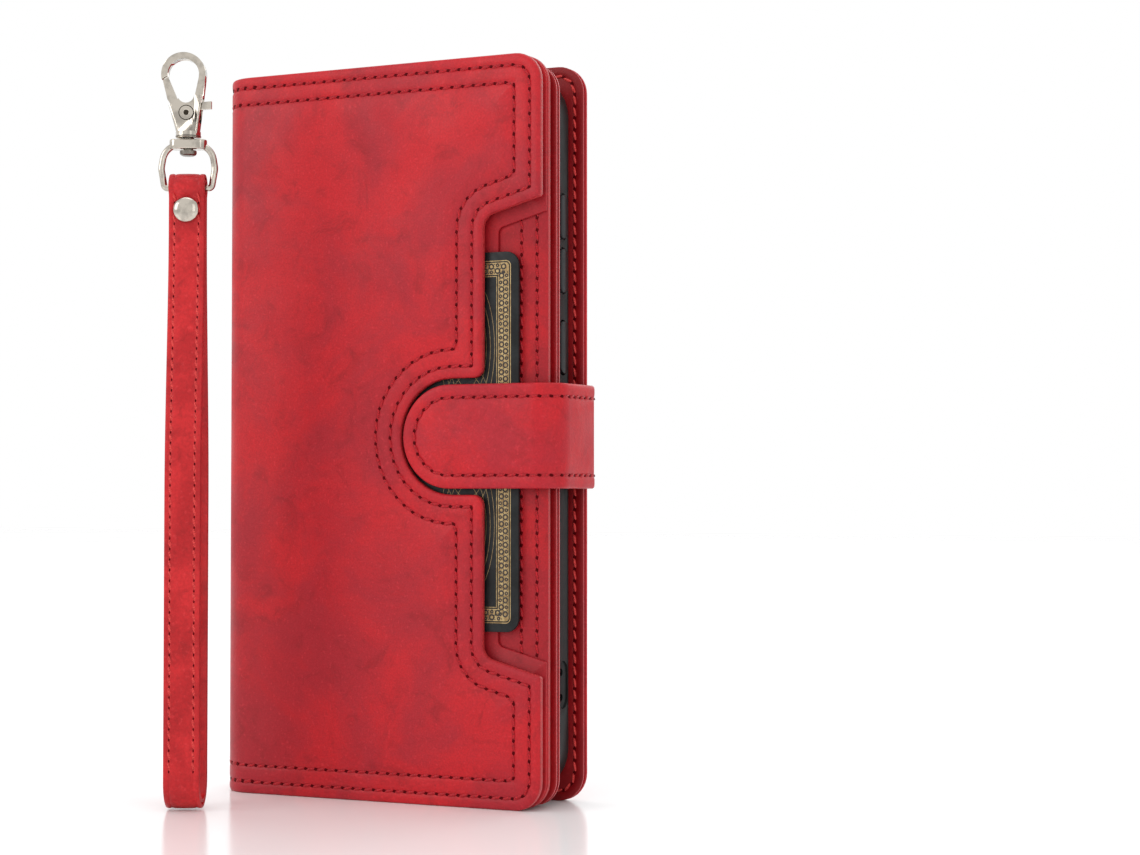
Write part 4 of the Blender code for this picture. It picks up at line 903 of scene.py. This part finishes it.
# ------------------------------------------------------------------- closing tab
def make_tab():
    places = steps_between(TAB_BEND_X, TAB_BEND_X + TAB_BEND_R * math.pi / 2, 14)
    hook = TAB_LENGTH - 0.4 - TAB_HOOK_R * math.pi / 2
    places += steps_between(hook, TAB_LENGTH - 0.4, 7)
    rim = 1.35               # depth of the turned-in edge
    section = [(9.5, 0.6), (1.1, 0.6), (0.8, rim - 0.1), (0.4, rim), (0.12, rim - 0.12), (0.0, rim - 0.35),
               (0.0, 0.5), (0.1, 0.26), (0.3, 0.09), (0.65, 0.0), (1.2, -0.04), (2.1, -0.02), (2.55, 0.06),
               (2.8, 0.15), (3.0, 0.19), (3.2, 0.15), (3.45, 0.06), (3.9, -0.03), (6.0, -0.12), (9.5, -0.16)]
    bm = panel_mesh(tab_corners(), section, steps=16)
    slice_at(bm, places + [12.0, 18.6, 26.0, 33.0])
    for v in bm.verts:
        v.co.y -= 0.05 * math.sin(v.co.x * 0.42) if 8.0 < v.co.x < 38.0 and v.co.y < 0.3 else 0.0
        if v.co.x > hook - 1.0 and v.co.y > 0.6:
            v.co.y = 0.6
    mark_cut_edges(bm)
    bend(bm, tab_wrap)
    made = piece("tab_tongue_leather", bm, [TONGUE_LEATHER, RED_EDGE], replaces=("tab_leather",))
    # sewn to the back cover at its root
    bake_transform(made)

    end = hook - 0.7
    corners = [c if c[0] < 30 else (end, c[1], 0.3) for c in inset(tab_corners(), 0.3)]
    bm = panel_mesh(corners, [(8.0, TAB_LINING), (0.1, TAB_LINING), (0.0, TAB_LINING - 0.1), (0.0, 0.1),
                              (0.1, 0.0), (8.0, 0.0)], steps=14)
    slice_at(bm, [p for p in places if p < end])
    for v in bm.verts:
        v.co.y += low("tab_lining").y - TAB_FACE_Y
    bend(bm, tab_wrap)
    bmesh.ops.recalc_face_normals(bm, faces=bm.faces)
    piece("tab_inner_lining", bm, [LINING], "closure_tab", replaces=("tab_lining",))

    rows = Stitches(width=0.68, hole=0.42)
    line = row_line(tab_corners(), 3.0, 3, 3) + row_line(tab_corners(), 3.0, 0, 0)
    rows.row([Vector((hook + 1.0, line[0].y))] + line + [Vector((hook + 1.0, line[-1].y))], tab_wrap)
    rows.finish("tab_stitches", "closure_tab")


# --------------------------------------------------------------------- own copies
def refined(name, node, material, body, width=0.15, segments=3, angle=28.0, smooth=40.0):
    """The frame's own shape with clean faces and softened edges."""
    bm = bmesh.new()
    bm.from_mesh(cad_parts[node].data)
    bmesh.ops.scale(bm, vec=(1 / MM,) * 3, verts=bm.verts)
    bmesh.ops.remove_doubles(bm, verts=bm.verts, dist=1e-3)
    bmesh.ops.dissolve_limit(bm, angle_limit=math.radians(0.6), verts=bm.verts, edges=bm.edges)
    if width:
        sharp = [e for e in bm.edges if len(e.link_faces) == 2
                 and e.calc_face_angle(0.0) > math.radians(angle)]
        bmesh.ops.bevel(bm, geom=sharp, offset=width, segments=segments, profile=0.5, affect="EDGES",
                        clamp_overlap=True, material=-1)
    return piece(name, bm, material, body=body, replaces=(node,), smooth=smooth)


def make_shell():
    refined("shell_body", "phone_shell", SHELL_BLACK, "back_cover", width=0.12, segments=2)
    for name in ("power", "volume_down", "volume_up"):
        refined(name + "_cap", name + "_button", KEY_BLACK, name + "_key", width=0)


# -------------------------------------------------------------------------- card
def make_card():
    lo, hi = low("card"), high("card")
    black = Finish("card_black")
    tone = black.noise(6.0, 5.0, 0.65, distortion=0.8)
    black.set(Base_Color=black.mix(black.ramp(tone, 0.35, 0.65), srgb(15, 17, 18), srgb(30, 33, 34)))
    black.set(Roughness=black.ramp(black.noise(1.2, 3.0), 0.3, 0.7, 0.34, 0.46))
    black.set(Specular_IOR_Level=0.25)
    black.bump(black.noise(0.35, 2.0), 0.01, 0.5)
    gold = Finish("card_gold")
    tone = gold.noise(1.0, 3.0)
    gold.set(Base_Color=gold.mix(gold.ramp(tone, 0.35, 0.65), srgb(138, 112, 72), srgb(178, 154, 108)))
    gold.set(Roughness=gold.ramp(tone, 0.3, 0.7, 0.3, 0.42))
    gold.set(Metallic=0.55)
    gold.bump(tone, 0.02, 0.5)
    ink = Finish("card_scroll_dark")
    ink.set(Base_Color=ink.mix(ink.ramp(ink.noise(0.8), 0.4, 0.6), srgb(38, 32, 26), srgb(58, 48, 38)))
    ink.set(Roughness=ink.ramp(ink.noise(0.6), 0.3, 0.7, 0.4, 0.5))
    corners = plain_corners(lo.x, hi.x, lo.z, hi.z, 3.2, 3.2)
    section = [(6.0, 0.8), (0.12, 0.8), (0.0, 0.7), (0.0, 0.1), (0.03, 0.03), (0.12, 0.0), (6.0, 0.0)]
    flat_panel("front_card", "card", corners, section, facing_front(lo.y), [black.material], "pocket_card",
               edge=0)

    def band(outer, inner, lift, bm):
        rows = [[(p.x, lo.y - h, p.y) for p in rounded(inset(corners, d), 7)]
                for d, h in ((inner, -0.01), (inner, lift), (outer, lift), (outer, -0.01))]
        loft(bm, rows, closed_path=True)

    lines = bmesh.new()
    for outer, inner in ((1.95, 2.15), (2.45, 5.15), (5.45, 5.6)):
        band(outer, inner, 0.03, lines)
    bmesh.ops.recalc_face_normals(lines, faces=lines.faces)
    piece("card_gold_border", lines, [gold.material], body="pocket_card")

    scrolls, batch = bmesh.new(), bmesh.new()
    middle = inset(corners, 3.8)
    spots = along_path(rounded(middle, 7) + [rounded(middle, 7)[0]], 1.55)
    for i, (a, b) in enumerate(zip(spots, spots[1:])):
        along = (b - a).normalized()
        across = Vector((-along.y, along.x))
        side = 1 if i % 2 else -1
        for offset, radius, thick in ((0.5 * side, 0.56, 0.2), (-0.78 * side, 0.3, 0.17)):
            centre = a + across * offset
            ring = [centre + Vector((math.cos(t), math.sin(t))) * radius
                    for t in [math.tau * k / 9 for k in range(9)]]
            part = wire(ring, thick, 4, flat=0.35)
            bmesh.ops.translate(part, vec=(0, lo.y - 0.035, 0), verts=part.verts)
            merge_into(batch, part)
        dot = a + along * 0.78
        for offset in (-1.0, 0.0, 1.0):
            spot = dot + across * offset
            bmesh.ops.create_uvsphere(batch, u_segments=5, v_segments=4, radius=0.16,
                                      matrix=Matrix.Translation((spot.x, lo.y - 0.02, spot.y)))
        if i % 12 == 11 or i == len(spots) - 2:
            merge_into(scrolls, batch)
            batch = bmesh.new()
    piece("card_scrollwork", scrolls, [ink.material], body="pocket_card")

    fine = bmesh.new()
    for radius in (9.0, 11.5, 14.0, 16.5):
        for cx, cz in ((hi.x - 13.0, WINDOW_Z), (hi.x - 13.0, WINDOW_Z + 20.0), (hi.x - 13.0, WINDOW_Z - 20.0)):
            ring = [Vector((cx + radius * 0.42 * math.cos(t), cz + radius * math.sin(t)))
                    for t in [math.tau * k / 40 for k in range(40)]]
            part = wire(ring, 0.045, 4, flat=0.3)
            bmesh.ops.translate(part, vec=(0, lo.y - 0.01, 0), verts=part.verts)
            merge_into(fine, part)
    piece("card_fine_lines", fine, [gold.material], body="pocket_card")


def merge_into(bm, part):
    mesh = bpy.data.meshes.new("part")
    part.to_mesh(mesh)
    part.free()
    bm.from_mesh(mesh)
    bpy.data.meshes.remove(mesh)


# ------------------------------------------------------------------ eyelet, strap
def eyelet_place():
    way = Vector((-math.sin(tilt), math.cos(tilt), 0.0))
    on = back_wrap(eyelet_along(), 0.0)
    turn = Vector((0, 0, 1)).rotation_difference(way).to_matrix().to_4x4()
    return Matrix.Translation((on.x, on.y, EYELET_Z)) @ turn


def make_eyelet():
    rim = [(3.4 + 1.05 * math.cos(a), 0.42 + 0.62 * math.sin(a))
           for a in [math.radians(-12 + 17 * i) for i in range(12)]]
    profile = [(2.75, -2.1), (3.15, -2.1), (3.2, 0.2), (3.9, 0.3)] + rim + [(2.75, 0.3), (2.75, -2.1)]
    piece("eyelet_ring", spun(profile, 64), NICKEL, body="back_cover", replaces=("eyelet",),
          place=eyelet_place(), smooth=50)
    washer = [(3.5, -1.75), (3.95, -1.75), (4.0, -1.6), (3.9, -1.42), (3.5, -1.42), (3.5, -1.75)]
    piece("eyelet_back_washer", spun(washer, 48), NICKEL_PAINTED_DARK, body="back_cover", replaces=("eyelet_washer",),
          place=eyelet_place())


def strap_place():
    return Matrix.Translation((*STRAP_PLACE, 0.0)) @ Matrix.Rotation(STRAP_TURN, 4, "Z")


RIVET_Z, RIVET_R = 134.3, 2.9
BAR_R, BAR_GAP, BAND_GAP, STRAP_THICK = 0.75, 0.4, 0.4, 0.8
STRAP_TOP, STRAP_BOTTOM, HALF_GAP, PINCH = 142.6, 0.3, 4.3, 0.2
BAR_Z = STRAP_TOP - BAR_R - BAR_GAP - 2 * STRAP_THICK - BAND_GAP


def ease(value):
    value = max(0.0, min(1.0, value))
    return value * value * (3.0 - 2.0 * value)


def loop_half(z, offset):
    if z > RIVET_Z + RIVET_R:
        share = (z - RIVET_Z - RIVET_R) / (BAR_Z - RIVET_Z - RIVET_R)
        return PINCH + (BAR_R + BAR_GAP - PINCH) * ease(share) + offset
    share = (RIVET_Z - RIVET_R - z) / (RIVET_Z - RIVET_R - STRAP_BOTTOM - 70.0)
    return PINCH + (HALF_GAP - PINCH) * ease(share) + offset


def loop_path(offset):
    """Closed side view of the strap's loop for the middle of one layer."""
    foot_z = STRAP_BOTTOM + HALF_GAP + 2 * STRAP_THICK + BAND_GAP
    heights = steps_between(foot_z, RIVET_Z - RIVET_R, 60)[1:] + steps_between(RIVET_Z + RIVET_R, BAR_Z, 6)[:-1]
    front = [Vector((-loop_half(z, offset), z)) for z in heights]
    back = [Vector((-p.x, p.y)) for p in reversed(front)]
    centre = Vector((0.0, BAR_Z))
    top = [polar(centre, BAR_R + BAR_GAP + offset, 180.0 - 12.0 * i) for i in range(16)]
    foot = [polar(Vector((0.0, foot_z)), HALF_GAP + offset, -9.0 * i) for i in range(21)]
    return front + top + back + foot


def band_section(thick, grooved):
    """Half of the strap's section: across and depth, its face at minus depth."""
    half = 4.0
    face = [(-half + 0.05, 0.12), (-half + 0.2, 0.0), (-half + 0.75, -0.05), (-half + 1.0, 0.0),
            (-half + 1.3, 0.12 if grooved else 0.0), (-half + 1.6, 0.0), (-half + 2.4, -0.06), (0.0, -0.09)]
    face += [(-x, d) for x, d in reversed(face[:-1])]
    back = [(half, thick * 0.35), (half - 0.02, thick - 0.12), (half - 0.18, thick), (0.0, thick),
            (-half + 0.18, thick), (-half + 0.02, thick - 0.12), (-half, thick * 0.35)]
    return face + back


def make_band(name, node, offset, outward):
    path = loop_path(offset)
    section = band_section(STRAP_THICK, outward)
    rows = []
    for i, here in enumerate(path):
        along = (path[(i + 1) % len(path)] - path[i - 1]).normalized()
        out = Vector((-along.y, along.x))
        rows.append([(x, here.x + out.x * (STRAP_THICK / 2 - d), here.y + out.y * (STRAP_THICK / 2 - d))
                     for x, d in section])
    bm = bmesh.new()
    loft(bm, rows, closed_path=True)
    bmesh.ops.recalc_face_normals(bm, faces=bm.faces)
    bore = spun([(0.0, -8.0), (1.3, -8.0), (1.3, 8.0), (0.0, 8.0)], 24)
    bmesh.ops.transform(bore, matrix=Matrix.Translation((0, 0, RIVET_Z)) @ Matrix.Rotation(math.pi / 2, 4, "X"),
                        verts=bore.verts)
    bm = cut_out(bm, [bore])
    for f in bm.faces:
        if abs(f.normal.x) > 0.85:
            f.material_index = 1
    piece(name, bm, [STRAP_RED, RED_EDGE], body="strap", replaces=(node,),
          place=strap_place())


def sew_strap():
    rows = Stitches(width=0.42, slant=16.0, hole=0.3)
    offset = STRAP_THICK * 2 + BAND_GAP
    for face in (-1, 1):
        for x in (-2.7, 2.7):
            spots = along_path([Vector((x, z)) for z in steps_between(9.0, STRAP_TOP - 4.4, 90)], 2.35)
            placed = []
            for spot in spots:
                here = Vector((spot.x, face * (loop_half(spot.y, offset) - 0.12), spot.y))
                placed.append((here, Vector((0.0, face, 0.0))))
            for (a, out), (b, _) in zip(placed, placed[1:]):
                along = Matrix.Rotation(math.radians(rows.slant), 3, out) @ (b - a).normalized()
                turn = Matrix((out.cross(along), out, along)).transposed().to_4x4()
                size = Matrix.Diagonal((0.32, 0.26, (b - a).length / 2 - 0.12, 1.0))
                if abs((a.z + b.z) / 2 - RIVET_Z) < RIVET_R + 0.2 and abs(a.x) < 2.5:
                    continue
                rows.blob(Matrix.Translation((a + b) / 2) @ turn @ size, 6, 6, 0)
                # dark disc of painted shadow at the needle hole
                rows.blob(Matrix.Translation(a) @ Matrix.Diagonal((0.34, 0.1, 0.34, 1.0)), 6, 4, 1)
    rows.finish("strap_stitches", "strap", material=STRAP_THREAD,
                place=strap_place())


def make_strap():
    make_band("strap_inside_band", "strap_inner_leather", STRAP_THICK / 2, False)
    make_band("strap_outside_band", "strap_outer_leather", STRAP_THICK * 1.5 + BAND_GAP, True)
    sew_strap()
    face = PINCH + 2 * STRAP_THICK + BAND_GAP + 0.35
    dome = [(0.0, -0.02), (2.3, -0.02), (2.6, -0.2), (2.85, -0.05), (2.9, 0.15)]
    dome += [(2.9 * math.cos(a), 0.22 + 1.15 * math.sin(a)) for a in [math.radians(9 * i) for i in range(1, 10)]]
    dome += [(0.0, 1.37)]
    forward = Matrix.Translation((0, -face, RIVET_Z)) @ Matrix.Rotation(math.pi / 2, 4, "X")
    piece("rivet_dome", spun(dome), NICKEL, body="strap", replaces=("rivet_cap",),
          place=strap_place() @ forward, smooth=60)
    stem = 2 * face - 0.3
    post = [(0.0, -stem), (1.0, -stem), (1.0, 0.0), (2.7, 0.0), (2.9, 0.12), (2.85, 0.4), (2.4, 0.68),
            (1.2, 0.86), (0.0, 0.9)]
    backward = Matrix.Translation((0, face, RIVET_Z)) @ Matrix.Rotation(-math.pi / 2, 4, "X")
    piece("rivet_back", spun(post), NICKEL, body="strap", replaces=("rivet_post",),
          place=strap_place() @ backward)


# -------------------------------------------------------------------- metal parts
RING_TOP, BOSS_HEIGHT, COLLAR_Z = 150.4, 2.2, 150.8
PIN_X, PIN_Z = -0.2, 5.5


def make_ring():
    side, wide = 4.0 + 0.3 + 0.75 + 0.25, 6.0 - 0.75 + 0.6
    top = RING_TOP - BOSS_HEIGHT / 2
    path = rounded([(-side, BAR_Z, 0.9), (side, BAR_Z, 0.9), (wide + 0.2, BAR_Z + 4.4, 3.4),
                    (wide - 0.7, top, 4.0), (-wide + 0.7, top, 4.0), (-wide - 0.2, BAR_Z + 4.4, 3.4)], 12)
    smooth = [path[0]]
    for p in path[1:]:
        if (p - smooth[-1]).length > 0.05:
            smooth.append(p)
    piece("strap_ring", wire(smooth, 0.75, 20), NICKEL, body="ring", replaces=("swivel_ring",),
          place=strap_place(), smooth=45)
    boss = prism(rounded([(-4.2, -1.9, 1.8), (4.2, -1.9, 1.8), (4.2, 1.9, 1.8), (-4.2, 1.9, 1.8)], 10),
                 -BOSS_HEIGHT / 2, BOSS_HEIGHT / 2)
    edges = [e for e in boss.edges if abs(e.verts[0].co.y - e.verts[1].co.y) < 1e-4]
    bmesh.ops.bevel(boss, geom=edges, offset=0.3, segments=4, profile=0.5, affect="EDGES", material=-1)
    flat = Matrix.Translation((0, 0, top)) @ Matrix.Rotation(math.pi / 2, 4, "X")
    piece("strap_ring_bar", boss, NICKEL, body="ring", place=strap_place() @ flat, smooth=45)


def make_post():
    under = RING_TOP - BOSS_HEIGHT - 0.3
    profile = [(0.0, under - 1.2), (1.3, under - 1.2), (1.75, under - 0.95), (1.9, under - 0.6),
               (1.9, under - 0.12), (1.78, under), (1.1, under), (1.1, COLLAR_Z + 1.6), (0.0, COLLAR_Z + 1.6)]
    piece("swivel_pin", spun(profile, 40), NICKEL_PAINTED_DARK, body="clasp", replaces=("swivel_post",),
          place=strap_place())


def make_clasp():
    refined("clasp_frame", "clasp_body", NICKEL, "clasp", width=0.12, segments=2)
    refined("clasp_gate", "gate_lever", NICKEL, "gate", width=0.18, segments=3)
    local = strap_place() @ Matrix.Translation((PIN_X, 0.0, COLLAR_Z + PIN_Z))
    for name, side in (("front", -1), ("back", 1)):
        facing = Matrix.Translation((0, side * 2.0, 0)) @ Matrix.Rotation(-side * math.pi / 2, 4, "X")
        boss = [(0.62, -0.1), (0.62, 0.08), (0.72, 0.14), (1.4, 0.14), (1.52, 0.1), (1.58, -0.1), (0.62, -0.1)]
        piece("clasp_boss_" + name, spun(boss, 40), NICKEL, body="clasp", place=local @ facing)
        # thin dark ring of painted shade for the groove round the boss
        groove = [(1.56, -0.05), (1.56, 0.05), (1.72, 0.05), (1.72, -0.05), (1.56, -0.05)]
        piece("clasp_boss_groove_" + name, spun(groove, 40), GROOVE_PAINTED_SHADE, body="clasp",
              place=local @ facing)
        head = [(0.0, -0.1), (0.58, -0.1), (0.58, 0.02), (0.45, 0.06), (0.0, 0.04)]
        piece("clasp_pin_head_" + name, spun(head, 24), GROOVE_PAINTED_SHADE, body="clasp",
              place=local @ facing)
    disc = [(1.3, -0.02), (2.75, -0.02), (2.88, 0.06), (2.88, 0.26), (2.75, 0.34), (1.3, 0.34), (1.3, -0.02)]
    piece("clasp_collar_disc", spun(disc, 48), NICKEL_PAINTED_DARK, body="clasp",
          place=strap_place() @ Matrix.Translation((0, 0, COLLAR_Z + 0.1)))
    refined("clasp_pin", "gate_pin", NICKEL_PAINTED_DARK, "clasp", width=0.1, segments=2)
    refined("clasp_gate_spring", "gate_spring", STEEL, "clasp", width=0)


def finish_hidden():
    """Layers that stay the frame's own: boards, plates and strips."""
    for node, material in (("front_board", BOARD), ("back_board", BOARD), ("page_board", BOARD),
                           ("closure_plate", STEEL), ("tab_magnet", STEEL), ("tab_root", COVER),
                           ("spine_lining", LINING), ("page_hinge_strip", LINING)):
        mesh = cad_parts[node].data
        mesh.materials.clear()
        mesh.materials.append(material)


# ------------------------------------------------------------ floor, light, camera
def make_studio():
    bm = bmesh.new()
    bmesh.ops.create_grid(bm, x_segments=1, y_segments=1, size=3000.0)
    floor_finish = Finish("studio_floor")
    cloud = floor_finish.noise(400.0, 2.0)
    floor_finish.set(Base_Color=floor_finish.mix(cloud, srgb(252, 252, 253), srgb(255, 255, 255)))
    floor_finish.set(Roughness=floor_finish.ramp(cloud, 0.3, 0.7, 0.15, 0.19))
    floor = piece("studio_floor", bm, floor_finish.material)

    world = bpy.context.scene.world or bpy.data.worlds.new("studio")
    bpy.context.scene.world = world
    world.use_nodes = True
    world.node_tree.nodes["Background"].inputs["Color"].default_value = (1.0, 1.0, 1.0, 1.0)
    world.node_tree.nodes["Background"].inputs["Strength"].default_value = 1.0

    def softbox(name, place, target, size, power):
        lamp = bpy.data.lights.new(name, "AREA")
        lamp.shape, lamp.size, lamp.size_y, lamp.energy = "RECTANGLE", size[0], size[1], power
        holder = bpy.data.objects.new(name, lamp)
        bpy.context.scene.collection.objects.link(holder)
        holder.location = place
        holder.rotation_euler = (Vector(target) - Vector(place)).to_track_quat("-Z", "Y").to_euler()

    target = (0.0, -0.02, 0.085)
    softbox("softbox_left", (-0.55, -0.75, 0.45), target, (0.5, 0.5), 1.9)
    softbox("softbox_right", (0.75, -0.55, 0.35), target, (0.3, 0.6), 0.5)
    softbox("softbox_top", (0.0, 0.0, 0.9), target, (0.6, 0.6), 1.4)
    softbox("softbox_back", (0.1, 0.9, 0.5), target, (0.6, 0.5), 1.6)

    camera = bpy.data.cameras.new("camera")
    camera.sensor_width = 36.0
    camera.lens = 72.63
    holder = bpy.data.objects.new("camera", camera)
    bpy.context.scene.collection.objects.link(holder)
    holder.location = (0.26928, -0.47941, 0.0710)
    holder.rotation_euler = (math.radians(90.0 + 1.6), 0.0, math.radians(25.7))
    bpy.context.scene.camera = holder
    bpy.context.scene.view_settings.view_transform = "Standard"


make_front_cover()
make_back_cover()
sew_front()
sew_back()
make_front_layers()
make_back_lining()
make_page()
make_tab()
make_shell()
make_card()
make_eyelet()
make_strap()
make_ring()
make_post()
make_clasp()
finish_hidden()
make_studio()
